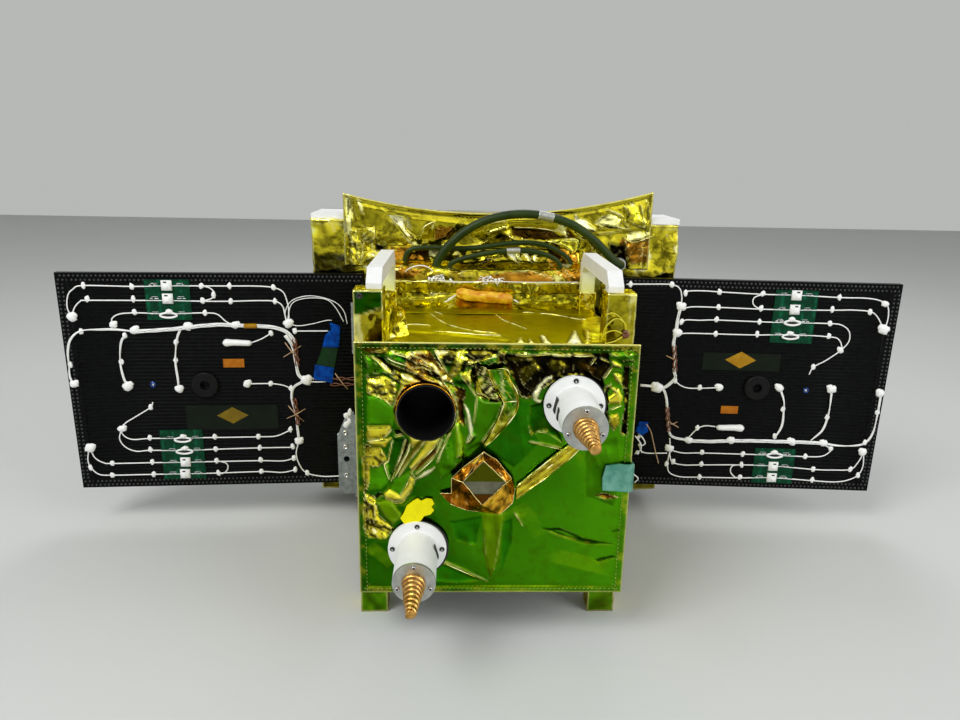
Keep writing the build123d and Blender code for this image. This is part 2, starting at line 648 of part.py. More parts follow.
# Lifting handles
HANDLE_X = POST_X - HANDLE_FROM_POST_X
HANDLE_Y0 = POST_Y - HANDLE_BAR_W / 2
HANDLE_Y1 = SHELF_Y0 - HANDLE_TO_SHELF_GAP
HANDLE_TOP_Z = POST_TOP_Z + HANDLE_ABOVE_POST_H
HANDLE_BASE_Z = DECK_Z + HANDLE_BASE_H
INNER_BEND = HANDLE_BEND - HANDLE_BAR_W * (math.sqrt(2) - 1)
for side, side_name in ((-1, "left"), (1, "right")):
    inner_x = side * HANDLE_X - HANDLE_BAR_W / 2
    with BuildPart() as handle:
        with BuildSketch(Plane(origin=(inner_x, 0, 0), x_dir=(0, 1, 0), z_dir=(1, 0, 0))):
            with BuildLine():
                Polyline(
                    (HANDLE_Y0, POST_TOP_Z),
                    (HANDLE_Y0, HANDLE_TOP_Z - HANDLE_BEND),
                    (HANDLE_Y0 + HANDLE_BEND, HANDLE_TOP_Z),
                    (HANDLE_Y1 - HANDLE_BEND, HANDLE_TOP_Z),
                    (HANDLE_Y1, HANDLE_TOP_Z - HANDLE_BEND),
                    (HANDLE_Y1, HANDLE_BASE_Z),
                    (HANDLE_Y1 - HANDLE_BAR_W, HANDLE_BASE_Z),
                    (HANDLE_Y1 - HANDLE_BAR_W, HANDLE_TOP_Z - HANDLE_BAR_W - INNER_BEND),
                    (HANDLE_Y1 - HANDLE_BAR_W - INNER_BEND, HANDLE_TOP_Z - HANDLE_BAR_W),
                    (HANDLE_Y0 + HANDLE_BAR_W, HANDLE_TOP_Z - HANDLE_BAR_W),
                    (HANDLE_Y0 + HANDLE_BAR_W, POST_TOP_Z),
                    close=True,
                )
            make_face()
        extrude(amount=HANDLE_BAR_W)
    save(handle.part, f"{side_name}_handle")

    with BuildPart() as handle_base:
        mid_y = HANDLE_Y1 - HANDLE_BAR_W / 2
        box_between(side * HANDLE_X - HANDLE_BASE_W / 2, side * HANDLE_X + HANDLE_BASE_W / 2,
                    mid_y - HANDLE_BASE_W / 2, mid_y + HANDLE_BASE_W / 2, DECK_Z, HANDLE_BASE_Z)
    save(handle_base.part, f"{side_name}_handle_base")

# Cables over the deck: name, radius, route
CABLE_Y = SCREEN_Y0 - CABLE_TO_SCREEN
BACK_CABLE_Y = SCREEN_Y0 - BACK_CABLE_TO_SCREEN
GLAND_TOP = SHELF_Z + GLAND_L
SCREEN_GLAND_Z = PANEL_Z1 + GLAND_ABOVE_PANEL_H
CABLES = (
    ("main_cable", CABLE_R, (
        (-74, CABLE_Y, GLAND_TOP),
        (-74, CABLE_Y, 407),
        (-48, CABLE_Y, 440),
        (-8, CABLE_Y, 467),
        (50, CABLE_Y, 479),
        (112, CABLE_Y, 468),
        (150, CABLE_Y - 4, SCREEN_GLAND_Z + 38),
        (174, CABLE_Y - 6, SCREEN_GLAND_Z + 14),
        (186, CABLE_Y - 3, SCREEN_GLAND_Z + 4),
        (194, CABLE_Y + 4, SCREEN_GLAND_Z),
        (194, SCREEN_Y0 - GLAND_L, SCREEN_GLAND_Z),
    )),
    ("back_cable", THIN_CABLE_R, (
        (-119, BACK_CABLE_Y, GLAND_TOP),
        (-119, BACK_CABLE_Y, 408),
        (-112, BACK_CABLE_Y, 424),
        (-80, BACK_CABLE_Y, 426),
        (-24, BACK_CABLE_Y, 424),
        (30, BACK_CABLE_Y, 434),
        (78, BACK_CABLE_Y, 435),
        (110, BACK_CABLE_Y, 420),
        (124, BACK_CABLE_Y, 405),
        (124, BACK_CABLE_Y, GLAND_TOP),
    )),
    ("low_cable", THIN_CABLE_R, (
        (-56, CABLE_Y, GLAND_TOP),
        (-56, CABLE_Y, 405),
        (-30, CABLE_Y, 414),
        (12, CABLE_Y, 423),
        (56, CABLE_Y, 426),
        (88, CABLE_Y, 419),
        (106, CABLE_Y, 407),
        (106, CABLE_Y, GLAND_TOP),
    )),
)


def bend_radii(route):
    """One radius for each corner: 0.45 of its shorter run over the tangent of half its turn."""
    corners = [Vector(*point) for point in route]
    radii = []
    for before, corner, after in zip(corners, corners[1:], corners[2:]):
        turn = math.radians((corner - before).get_angle(after - corner))
        shorter = min((corner - before).length, (after - corner).length)
        radii.append(0.45 * shorter / math.tan(turn / 2))
    return radii


for name, radius, route in CABLES:
    radii = bend_radii(route)
    print(name, "bend radii", [round(value) for value in radii])
    with BuildPart() as cable:
        with BuildLine() as path:
            FilletPolyline(*route, radius=radii)
        start_dir = Vector(*route[1]) - Vector(*route[0])
        with BuildSketch(Plane(origin=route[0], z_dir=start_dir)):
            Circle(radius)
        sweep()
    save(cable.part, name)

with BuildPart() as glands:
    for name, radius, route in CABLES:
        for x, y, z in (route[0], route[-1]):
            if z == GLAND_TOP:
                seat = Plane(origin=(x, y, SHELF_Z), z_dir=(0, 0, 1))
            else:
                seat = facing_plane(x, SCREEN_Y0, z)
            with BuildSketch(seat):
                Circle(radius + GLAND_WALL_T)
            extrude(amount=GLAND_L)
save(glands.part, "cable_glands")

# Taped bundle on the deck in front of the shelf
with BuildPart() as bundle:
    bundle_y = SHELF_Y0 - BUNDLE_R - BUNDLE_TO_SHELF_GAP
    with BuildSketch(Plane(origin=(BUNDLE_X - BUNDLE_L / 2, bundle_y, DECK_Z + BUNDLE_R), z_dir=(1, 0, 0))):
        Circle(BUNDLE_R)
    extrude(amount=BUNDLE_L)
save(bundle.part, "taped_bundle")
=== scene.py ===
"""Looks of the small satellite: crinkled gold film, wired solar wings, antennas, handles and cables.

Lengths are in millimetres until a mesh is made, which turns them into metres.
Frame: +X to the right, +Y towards the rear, +Z up, origin on the floor between the feet.
"""
import json
import math

import bpy
import numpy as np
from mathutils import Matrix, Vector


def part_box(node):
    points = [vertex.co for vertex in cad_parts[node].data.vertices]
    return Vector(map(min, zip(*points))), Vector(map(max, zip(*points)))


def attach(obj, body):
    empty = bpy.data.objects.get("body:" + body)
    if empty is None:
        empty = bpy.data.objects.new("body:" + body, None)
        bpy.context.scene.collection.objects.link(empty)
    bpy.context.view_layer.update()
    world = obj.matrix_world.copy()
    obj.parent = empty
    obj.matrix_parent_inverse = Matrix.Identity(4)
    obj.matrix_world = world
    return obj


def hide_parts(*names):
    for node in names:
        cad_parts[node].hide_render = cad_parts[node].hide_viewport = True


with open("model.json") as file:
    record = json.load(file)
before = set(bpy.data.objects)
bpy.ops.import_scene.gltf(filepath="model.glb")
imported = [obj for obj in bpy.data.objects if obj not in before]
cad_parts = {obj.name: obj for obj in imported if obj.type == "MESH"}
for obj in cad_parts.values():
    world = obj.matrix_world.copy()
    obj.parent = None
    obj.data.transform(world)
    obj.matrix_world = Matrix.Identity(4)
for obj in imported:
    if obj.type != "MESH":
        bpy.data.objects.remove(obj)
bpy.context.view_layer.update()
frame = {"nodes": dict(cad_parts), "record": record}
MM = 0.001

# Camera: focal length in pixels of the photograph's frame, place and angles
IMAGE_W = 960
SENSOR_W = 36.0
FOCAL_PX = 724.934
CAMERA_PLACE = (-45.196, -970.19, 550.605)
CAMERA_YAW = 0.036484
CAMERA_PITCH = 0.271835
CAMERA_ROLL = 0.020143

# Wings, as the CAD model has them
SWEEP = math.radians(3.5)
AXIS_TO_PANEL = 14.0
BOARD_T = 2.0
HINGE_X = 172.0
HINGE_Y = 61.6
PANEL_LENGTH = 424.5
SIDES = ((-1, "left"), (1, "right"))


def box_mm(node):
    """Lowest and highest corner of a CAD node."""
    low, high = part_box(node)
    return np.array(low) / MM, np.array(high) / MM


FRONT_LOW, FRONT_HIGH = box_mm("front_blanket")
FRONT_Y = FRONT_LOW[1]
PANEL_Z0 = box_mm("left_wing_panel")[0][2]
PANEL_Z1 = box_mm("left_wing_panel")[1][2]


def make_camera():
    """The photograph's camera, from its fitted place and angles."""
    forward = Vector((
        math.sin(CAMERA_YAW) * math.cos(CAMERA_PITCH),
        math.cos(CAMERA_YAW) * math.cos(CAMERA_PITCH),
        -math.sin(CAMERA_PITCH),
    ))
    level = Vector((math.cos(CAMERA_YAW), -math.sin(CAMERA_YAW), 0))
    upright = level.cross(forward)
    right = math.cos(CAMERA_ROLL) * level + math.sin(CAMERA_ROLL) * upright
    up = math.cos(CAMERA_ROLL) * upright - math.sin(CAMERA_ROLL) * level
    data = bpy.data.cameras.new("camera")
    data.sensor_width = SENSOR_W
    data.lens = SENSOR_W * FOCAL_PX / IMAGE_W
    data.clip_start = 0.01
    data.clip_end = 100
    camera = bpy.data.objects.new("camera", data)
    turn = Matrix((right, up, -forward)).transposed()
    camera.matrix_world = Matrix.Translation(Vector(CAMERA_PLACE) * MM) @ turn.to_4x4()
    bpy.context.scene.collection.objects.link(camera)
    bpy.context.scene.camera = camera


# Node materials
def add_node(tree, kind, inputs=None, **properties):
    """A node with its properties set and its inputs set or linked."""
    made = tree.nodes.new(kind)
    for name, value in properties.items():
        setattr(made, name, value)
    for name, value in (inputs or {}).items():
        socket = made.inputs[name]
        if isinstance(value, bpy.types.NodeSocket):
            tree.links.new(value, socket)
        else:
            socket.default_value = value
    return made


def new_material(name, roughness, metallic=0.0, **sockets):
    """A material with its Principled shader's plain values set."""
    material = bpy.data.materials.new(name)
    material.use_nodes = True
    shader = material.node_tree.nodes["Principled BSDF"]
    shader.inputs["Roughness"].default_value = roughness
    shader.inputs["Metallic"].default_value = metallic
    for socket, value in sockets.items():
        shader.inputs[socket.replace("_", " ")].default_value = value
    return material, material.node_tree, shader


def object_coordinates(tree):
    """The object's own coordinates, in metres."""
    return add_node(tree, "ShaderNodeTexCoord").outputs["Object"]


def noise(tree, scale, detail=4.0, roughness=0.55):
    """Fractal noise over the object's own coordinates."""
    inputs = {"Vector": object_coordinates(tree), "Scale": scale, "Detail": detail, "Roughness": roughness}
    return add_node(tree, "ShaderNodeTexNoise", inputs).outputs["Fac"]


def wave(tree, scale, distortion=0.0):
    """Level bands over the object's own coordinates."""
    inputs = {"Vector": object_coordinates(tree), "Scale": scale, "Distortion": distortion}
    return add_node(tree, "ShaderNodeTexWave", inputs, bands_direction="Z").outputs["Fac"]


def calculate(tree, operation, first, second):
    """One step of arithmetic on two values, each a number or a socket."""
    return add_node(tree, "ShaderNodeMath", {0: first, 1: second}, operation=operation).outputs[0]


def spread(tree, value, low, high, to_low=0.0, to_high=1.0):
    """Stretch a value's range from low..high to 0..1, or to another range."""
    inputs = {"Value": value, "From Min": low, "From Max": high, "To Min": to_low, "To Max": to_high}
    return add_node(tree, "ShaderNodeMapRange", inputs).outputs["Result"]


def mix_colours(tree, factor, first, second):
    """Blend two colours, each given as numbers or as a socket."""
    mix = add_node(tree, "ShaderNodeMix", data_type="RGBA")
    for place, value in ((0, factor), (6, first), (7, second)):
        if isinstance(value, bpy.types.NodeSocket):
            tree.links.new(value, mix.inputs[place])
        elif place == 0:
            mix.inputs[place].default_value = value
        else:
            mix.inputs[place].default_value = (*value, 1)
    return mix.outputs[2]


def drifting(tree, scale, first, second, low=0.35, high=0.65):
    """A slow drift from one colour to another."""
    return mix_colours(tree, spread(tree, noise(tree, scale), low, high), first, second)


def add_bump(tree, shader, height, depth_mm, strength=1.0):
    """Relief on a shader's surface."""
    inputs = {"Height": height, "Distance": depth_mm * MM, "Strength": strength}
    bump = add_node(tree, "ShaderNodeBump", inputs)
    tree.links.new(bump.outputs["Normal"], shader.inputs["Normal"])


def speckled(name, colour, second, scale, roughness, metallic=0.0, bump_mm=0.0, bump_scale=None, **sockets):
    """A plain finish with a slow drift between two colours and a fine relief."""
    material, tree, shader = new_material(name, roughness, metallic, **sockets)
    tree.links.new(drifting(tree, scale, colour, second), shader.inputs["Base Color"])
    if bump_mm:
        add_bump(tree, shader, noise(tree, bump_scale or scale * 6), bump_mm)
    return material


def film_material(name, roughness=0.12, wrinkle_mm=0.45):
    """Metallised film: colour from the mesh, which carries painted light, shade and reflections, with fine
    creases where the mesh says it is crumpled.
    """
    material, tree, shader = new_material(name, roughness, 1.0, Specular_Tint=(1.0, 0.95, 0.35, 1))
    attribute = add_node(tree, "ShaderNodeAttribute", attribute_name="film")
    film, crumpled = attribute.outputs["Color"], attribute.outputs["Alpha"]
    dark = mix_colours(tree, 0.35, film, (0.05, 0.03, 0.0))
    drift = spread(tree, noise(tree, 70, 5), 0.5, 0.75)
    tree.links.new(mix_colours(tree, drift, film, dark), shader.inputs["Base Color"])
    inputs = {"Vector": object_coordinates(tree), "Scale": 40.0}
    warp = add_node(tree, "ShaderNodeTexNoise", inputs).outputs["Color"]
    bent = mix_colours(tree, 0.012, object_coordinates(tree), warp)
    inputs = {"Vector": bent, "Scale": 130.0, "Randomness": 1.0}
    cells = add_node(tree, "ShaderNodeTexVoronoi", inputs, feature="F1").outputs["Distance"]
    add_bump(tree, shader, calculate(tree, "MULTIPLY", cells, crumpled), wrinkle_mm)
    blue = add_node(tree, "ShaderNodeSeparateColor", {"Color": film}).outputs["Blue"]
    pale = spread(tree, blue, 0.1, 0.5, roughness, 0.55)
    satin = spread(tree, crumpled, 0.0, 0.04, 0.36, roughness)
    tree.links.new(calculate(tree, "MAXIMUM", pale, satin), shader.inputs["Roughness"])
    return material


def printed_material():
    """White printed plastic with its layers showing, with painted yellow light from the gold film low on the
    rear legs.
    """
    material, tree, shader = new_material("white_plastic", 0.45)
    shade = drifting(tree, 90, (0.74, 0.75, 0.74), (0.83, 0.83, 0.82), 0.3, 0.7)
    place_xyz = add_node(tree, "ShaderNodeSeparateXYZ", {"Vector": object_coordinates(tree)})
    # Painted yellow light from the film, low on the rear legs
    low = spread(tree, place_xyz.outputs["Z"], 0.418, 0.380)
    rear = spread(tree, place_xyz.outputs["Y"], -0.05, -0.02)
    share = calculate(tree, "MULTIPLY", calculate(tree, "MULTIPLY", low, rear), 0.75)
    tree.links.new(mix_colours(tree, share, shade, (0.72, 0.74, 0.14)), shader.inputs["Base Color"])
    add_bump(tree, shader, wave(tree, 180.0, 0.6), 0.12, 0.5)
    return material


def board_material():
    """Green circuit board with tracks under its mask."""
    material, tree, shader = new_material("green_board", 0.4, Specular_IOR_Level=0.12)
    inputs = {"Vector": object_coordinates(tree), "Scale": 260.0, "Color1": (0.0003, 0.040, 0.014, 1),
              "Color2": (0.0005, 0.055, 0.020, 1), "Mortar": (0.002, 0.10, 0.045, 1), "Mortar Size": 0.03}
    tracks = add_node(tree, "ShaderNodeTexBrick", inputs)
    shade = drifting(tree, 120, tracks.outputs["Color"], (0.0004, 0.032, 0.012), 0.4, 0.6)
    tree.links.new(shade, shader.inputs["Base Color"])
    add_bump(tree, shader, tracks.outputs["Fac"], 0.05)
    return material


def cell_material():
    """Dark blue solar cells under cover glass with a slow drift of tone and fine fingers."""
    material, tree, shader = new_material("solar_cell", 0.16, Coat_Weight=0.6, Coat_Roughness=0.05)
    shade = drifting(tree, 9, (0.006, 0.010, 0.045), (0.012, 0.022, 0.085))
    lines = spread(tree, wave(tree, 260.0), 0.9, 1.0)
    tree.links.new(mix_colours(tree, lines, shade, (0.05, 0.06, 0.12)), shader.inputs["Base Color"])
    return material


def metal_material(name, colour, second, roughness):
    """Machined metal with faint tool marks."""
    material, tree, shader = new_material(name, roughness, 1.0)
    tree.links.new(drifting(tree, 140, colour, second), shader.inputs["Base Color"])
    add_bump(tree, shader, wave(tree, 500.0, 2.0), 0.05, 0.4)
    return material


def tape_material(name, colour, second, roughness=0.35, **sockets):
    """Adhesive film tape with soft ripples."""
    return speckled(name, colour, second, 90, roughness, bump_mm=0.5, bump_scale=140, **sockets)


# Finishes that are slots of the record
MATERIALS = {
    "gold_foil": film_material("gold_foil"),
    "amber_foil": film_material("amber_foil", 0.20, 0.6),
    "aluminium": metal_material("aluminium", (0.24, 0.27, 0.26), (0.40, 0.43, 0.42), 0.34),
    "structure": metal_material("structure", (0.32, 0.33, 0.34), (0.42, 0.43, 0.44), 0.4),
    "white_paint": speckled("white_paint", (0.82, 0.83, 0.82), (0.88, 0.88, 0.87), 60, 0.5, bump_mm=0.1),
    "grey_cap": speckled("grey_cap", (0.36, 0.38, 0.35), (0.48, 0.49, 0.46), 120, 0.35, 0.7, bump_mm=0.08),
    "copper_gold": metal_material("copper_gold", (0.42, 0.20, 0.04), (0.78, 0.47, 0.14), 0.33),
    "black_coating": speckled("black_coating", (0.002, 0.002, 0.002), (0.005, 0.005, 0.005), 200, 0.55,
                              Specular_IOR_Level=0.15),
    "lens_glass": speckled("lens_glass", (0.004, 0.004, 0.006), (0.008, 0.006, 0.012), 30, 0.06),
    "sensor_window": speckled("sensor_window", (0.07, 0.07, 0.035), (0.12, 0.12, 0.07), 60, 0.22),
    "black_laminate": speckled("black_laminate", (0.0008, 0.0009, 0.001), (0.003, 0.0035, 0.0035), 160, 0.36,
                               bump_mm=0.12, Specular_IOR_Level=0.08),
    "solar_cell": cell_material(),
    "green_board": board_material(),
    "white_plastic": printed_material(),
    "yellow_tape": tape_material("yellow_tape", (0.50, 0.45, 0.01), (0.72, 0.66, 0.03)),
    "orange_tape": tape_material("orange_tape", (0.62, 0.20, 0.004), (0.95, 0.62, 0.03), 0.22),
    "green_jacket": speckled("green_jacket", (0.010, 0.024, 0.0008), (0.020, 0.042, 0.002), 40, 0.42,
                             bump_mm=0.15, bump_scale=300, Specular_IOR_Level=0.25),
    "white_wire": speckled("white_wire", (0.88, 0.89, 0.88), (0.93, 0.93, 0.92), 220, 0.38, bump_mm=0.2),
}

# Finishes that only small added pieces have
EXTRA = {
    "weave": speckled("weave", (0.006, 0.0065, 0.0065), (0.05, 0.052, 0.052), 260, 0.3,
                      Specular_IOR_Level=0.5),
    "thread": speckled("thread", (0.16, 0.20, 0.02), (0.45, 0.46, 0.12), 300, 0.4),
    "yellow_sticker": tape_material("yellow_sticker", (0.80, 0.72, 0.0), (0.88, 0.80, 0.0), 0.45,
                                    Specular_IOR_Level=0.15),
    "teal_tape": tape_material("teal_tape", (0.05, 0.26, 0.19), (0.16, 0.42, 0.32), 0.3),
    "blue_tape": tape_material("blue_tape", (0.0, 0.022, 0.16), (0.0, 0.07, 0.42), 0.4,
                               Specular_IOR_Level=0.08),
    "dark_tape": speckled("dark_tape", (0.001, 0.004, 0.0006), (0.0025, 0.008, 0.001), 70, 0.3,
                          Specular_IOR_Level=0.16),
    "brown_wire": speckled("brown_wire", (0.10, 0.028, 0.012), (0.20, 0.07, 0.03), 150, 0.4, bump_mm=0.2),
    "tan_tie": speckled("tan_tie", (0.42, 0.26, 0.14), (0.55, 0.37, 0.22), 150, 0.5, bump_mm=0.2),
    "label": speckled("label", (0.36, 0.10, 0.001), (0.48, 0.16, 0.002), 100, 0.3, Specular_IOR_Level=0.2),
    "label_olive": speckled("label_olive", (0.15, 0.095, 0.002), (0.21, 0.14, 0.003), 100, 0.3,
                            Specular_IOR_Level=0.2),
    "dark_green_tape": speckled("dark_green_tape", (0.001, 0.018, 0.001), (0.002, 0.034, 0.002), 70, 0.3,
                                Specular_IOR_Level=0.2),
    "label_amber": speckled("label_amber", (0.33, 0.16, 0.002), (0.42, 0.22, 0.005), 100, 0.3,
                            Specular_IOR_Level=0.2),
    "dark_hole": speckled("dark_hole", (0.006, 0.006, 0.006), (0.012, 0.012, 0.012), 200, 0.6),
    "steel": metal_material("steel", (0.45, 0.45, 0.46), (0.62, 0.62, 0.63), 0.25),
    "silver_line": metal_material("silver_line", (0.6, 0.6, 0.62), (0.7, 0.7, 0.72), 0.3),
    "blue_anodised": metal_material("blue_anodised", (0.02, 0.04, 0.16), (0.06, 0.12, 0.42), 0.25),
}


# Meshes
def make_piece(name, vertices, faces, finish, body="bus", replaces=(), smooth=True, film=None):
    """A mesh object that rides on a body; film is one colour, or one for each vertex with its crumpling."""
    mesh = bpy.data.meshes.new(name)
    mesh.from_pydata((np.asarray(vertices, float) * MM).tolist(), [], [list(face) for face in faces])
    mesh.validate()
    mesh.update()
    if smooth:
        mesh.shade_smooth()
    else:
        mesh.shade_flat()
    if film is not None:
        film = np.atleast_2d(film)
        colours = np.ones((len(vertices), 4), np.float32)
        colours[:, :film.shape[1]] = np.clip(film, 0, 1)
        layer = mesh.attributes.new("film", "FLOAT_COLOR", "POINT")
        layer.data.foreach_set("color", colours.ravel())
    mesh.materials.append(MATERIALS.get(finish) or EXTRA[finish])
    piece = bpy.data.objects.new(name, mesh)
    bpy.context.scene.collection.objects.link(piece)
    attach(piece, body)
    if replaces:
        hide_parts(*replaces)
    return piece


def join(parts):
    """Several (vertices, faces) as one."""
    vertices = []
    faces = []
    start = 0
    for points, polygons in parts:
        vertices.append(np.asarray(points, float))
        faces.extend([[corner + start for corner in polygon] for polygon in polygons])
        start += len(points)
    return np.concatenate(vertices), faces


def ring_faces(rings, sides):
    """Quads between rings of points, and a cap on both ends."""
    faces = []
    for start in range(0, (rings - 1) * sides, sides):
        for k in range(sides):
            after = (k + 1) % sides
            faces.append((start + k, start + after, start + sides + after, start + sides + k))
    faces.append(tuple(range(sides))[::-1])
    faces.append(tuple(range((rings - 1) * sides, rings * sides)))
    return faces


def grid_faces(rows, columns):
    """Quads of a grid whose points follow one another along its rows."""
    return [(start + j, start + j + 1, start + columns + j + 1, start + columns + j)
            for start in range(0, (rows - 1) * columns, columns) for j in range(columns - 1)]


def flipped(faces):
    """The same faces seen from behind."""
    return [(face[0], *face[:0:-1]) for face in faces]


def full_turn(count):
    """Angles evenly round a circle."""
    return np.linspace(0, 2 * math.pi, count, endpoint=False)


def revolve(profile, sides=20):
    """A closed turned shape from (radius, height) pairs, about its own z axis."""
    angles = full_turn(sides)
    rings = [np.stack([r * np.cos(angles), r * np.sin(angles), np.full(sides, h)], 1) for r, h in profile]
    return np.concatenate(rings), ring_faces(len(profile), sides)


def place(shape, origin, outward, turn=0.0):
    """A shape made about its own z axis, set down at a place with z pointing outward."""
    points, faces = shape
    z = np.asarray(outward, float) / np.linalg.norm(outward)
    x = np.cross((0, 0, 1), z)
    if np.linalg.norm(x) < 1e-6:
        x = np.array((1.0, 0, 0))
    x = x / np.linalg.norm(x)
    y = np.cross(z, x)
    c, s = math.cos(turn), math.sin(turn)
    across, up, out = np.asarray(points, float).T
    local = np.stack([across * c - up * s, across * s + up * c, out], 1)
    return local @ np.stack([x, y, z]) + np.asarray(origin, float), faces


def block(width, height, depth, bevel=0.4):
    """A block with a chamfered front, centred on its own z axis and standing on z = 0."""
    w, h = width / 2, height / 2
    outline = np.array(((-w, -h), (w, -h), (w, h), (-w, h)))
    inner = outline - np.sign(outline) * bevel
    points = []
    for ring, z in ((outline, 0), (outline, depth - bevel), (inner, depth)):
        points.extend((x, y, z) for x, y in ring)
    return np.array(points, float), ring_faces(3, 4)


def smooth_path(points, step=4.0):
    """A Catmull-Rom path through places, sampled about every step."""
    places = [np.asarray(p, float) for p in points]
    padded = [2 * places[0] - places[1], *places, 2 * places[-1] - places[-2]]
    samples = []
    for a, b, c, d in zip(padded, padded[1:], padded[2:], padded[3:]):
        count = max(2, int(np.linalg.norm(c - b) / step))
        for t in np.linspace(0, 1, count, endpoint=False):
            samples.append(0.5 * (2 * b + (c - a) * t + (2 * a - 5 * b + 4 * c - d) * t * t
                                  + (3 * b - a - 3 * c + d) * t ** 3))
    samples.append(places[-1])
    return np.array(samples)


def run_lengths(line):
    """Length of a path up to each of its samples."""
    return np.concatenate([[0], np.cumsum(np.linalg.norm(np.diff(line, axis=0), axis=1))])


def points_at(line, reach, along):
    """Places on a path at some lengths along it; reach holds its run lengths."""
    return np.stack([np.interp(along, reach, line[:, k]) for k in range(3)], 1)


def tube(path, radius, sides=8, outward=(0, -1, 0)):
    """A round tube along a path; radius may be one number or one for each sample."""
    path = np.asarray(path, float)
    radii = np.broadcast_to(radius, len(path))[:, None, None]
    tangent = np.gradient(path, axis=0)
    tangent /= np.linalg.norm(tangent, axis=1)[:, None]
    side = np.cross(tangent, np.asarray(outward, float))
    side /= np.maximum(np.linalg.norm(side, axis=1), 1e-6)[:, None]
    up = np.cross(side, tangent)
    angles = full_turn(sides)[None, :, None]
    rings = path[:, None, :] + radii * (np.cos(angles) * side[:, None, :] + np.sin(angles) * up[:, None, :])
    return rings.reshape(-1, 3), ring_faces(len(path), sides)


# Colours of the film
# The film is a mirror, so most of these colours stand in for what it reflects: INK and DARK are painted
# shade, BRIGHT and PALE painted highlights, and GREEN, DEEP_GREEN and LEAF_GREEN a painted reflection of a
# green floor; GOLD and AMBER are the films' own colours, and OLIVE, BROWN and CALM_OLIVE their tones in
# painted reflection.
INK = np.array((0.006, 0.005, 0.002))
DARK = np.array((0.022, 0.018, 0.003))
BROWN = np.array((0.24, 0.11, 0.008))
AMBER = np.array((0.72, 0.33, 0.02))
OLIVE = np.array((0.36, 0.31, 0.012))
GOLD = np.array((0.82, 0.70, 0.035))
BRIGHT = np.array((0.98, 0.93, 0.32))
PALE = np.array((0.98, 0.96, 0.55))
GREEN = np.array((0.070, 0.30, 0.003))
DEEP_GREEN = np.array((0.020, 0.17, 0.002))
LEAF_GREEN = np.array((0.20, 0.42, 0.003))
CALM_OLIVE = np.array((0.38, 0.345, 0.006))


# Crumpled film
def lattice(corner, seed):
    """Repeatable random numbers from -1 to 1 at whole-numbered corners."""
    x, y, z = corner.T
    mixed = x * 73856093 ^ y * 19349663 ^ z * 83492791 ^ (seed + 1) * 26544357
    mixed = (mixed ^ (mixed >> 13)) * 1274126177 & 0x7FFFFFFF
    mixed = (mixed ^ (mixed >> 15)) * 2246822519 & 0x7FFFFFFF
    return (mixed & 0xFFFF) / 32767.5 - 1.0


def facets(points, size, seed):
    """Noise from -1 to 1 made of flat facets about size across, with sharp creases between them."""
    turn = np.array(Matrix.Rotation(0.7 + seed, 3, "X") @ Matrix.Rotation(1.3 * seed + 0.5, 3, "Z"))
    spots = points @ turn.T / size
    corner = np.floor(spots).astype(np.int64)
    rest = spots - corner
    order = np.argsort(-rest, axis=1)
    ranked = np.take_along_axis(rest, order, axis=1)
    rows = np.arange(len(points))
    value = lattice(corner, seed) * (1 - ranked[:, 0])
    for k in range(3):
        corner[rows, order[:, k]] += 1
        below = ranked[:, k + 1] if k < 2 else 0
        value += lattice(corner, seed) * (ranked[:, k] - below)
    return value


def crumple(points, octaves, seed):
    """Height of crumpled film from (size, depth) pairs, bent by a slow drift so that nothing lines up."""
    slow = octaves[0][0] * 2.5
    drift = np.stack([facets(points, slow, seed + k) for k in range(3)], 1)
    bent = points + drift * slow * 0.3
    return sum(depth * facets(bent, size, seed + 10 + k) for k, (size, depth) in enumerate(octaves))


def ridge(x, z, start, end, half_width, height, blunt=0.15):
    """A tent-shaped fold along a line, tapering to nothing at both ends unless they are blunt."""
    a, b = np.array(start, float), np.array(end, float)
    run = b - a
    t = ((x - a[0]) * run[0] + (z - a[1]) * run[1]) / np.linalg.norm(run) ** 2
    near = np.clip(t, 0, 1)
    off = np.hypot(x - a[0] - near * run[0], z - a[1] - near * run[1])
    taper = np.clip(4 * np.minimum(t, 1 - t) + blunt, 0, 1)
    return height * taper * np.clip(1 - off / half_width, 0, 1)


def patch(x, z, centre_x, centre_z, half_w, half_h, soft=0.35):
    """1 inside an oval patch, falling to 0 over its soft edge."""
    reach = np.hypot((x - centre_x) / half_w, (z - centre_z) / half_h)
    return np.clip((1 + soft - reach) / soft, 0, 1)


def box_shell(low, high, step):
    """A box's surface as a grid: points, outward directions and quads."""
    low, high = np.asarray(low, float), np.asarray(high, float)
    counts = np.maximum(1, np.round((high - low) / step)).astype(int)
    points, normals, faces, index = [], [], [], {}

    def corner(cell, direction):
        if cell not in index:
            index[cell] = len(points)
            points.append(low + (high - low) * np.array(cell) / counts)
            normals.append(np.zeros(3))
        normals[index[cell]] = normals[index[cell]] + direction
        return index[cell]

    for axis in range(3):
        one, two = (axis + 1) % 3, (axis + 2) % 3
        for level, sign in ((0, -1), (counts[axis], 1)):
            direction = np.zeros(3)
            direction[axis] = sign
            for i in range(counts[one]):
                for j in range(counts[two]):
                    quad = []
                    for di, dj in ((0, 0), (1, 0), (1, 1), (0, 1)):
                        cell = [0, 0, 0]
                        cell[axis], cell[one], cell[two] = int(level), i + di, j + dj
                        quad.append(corner(tuple(cell), direction))
                    faces.append(quad if sign > 0 else quad[::-1])
    normals = np.array(normals)
    normals /= np.linalg.norm(normals, axis=1)[:, None]
    return np.array(points), normals, faces


def surface_normals(points, faces):
    """Smooth normals of a quad mesh."""
    quads = np.array(faces)
    across = points[quads[:, 2]] - points[quads[:, 0]]
    along = points[quads[:, 3]] - points[quads[:, 1]]
    flat = np.cross(across, along)
    total = np.zeros_like(points)
    for k in range(4):
        np.add.at(total, quads[:, k], flat)
    return total / np.maximum(np.linalg.norm(total, axis=1), 1e-9)[:, None]


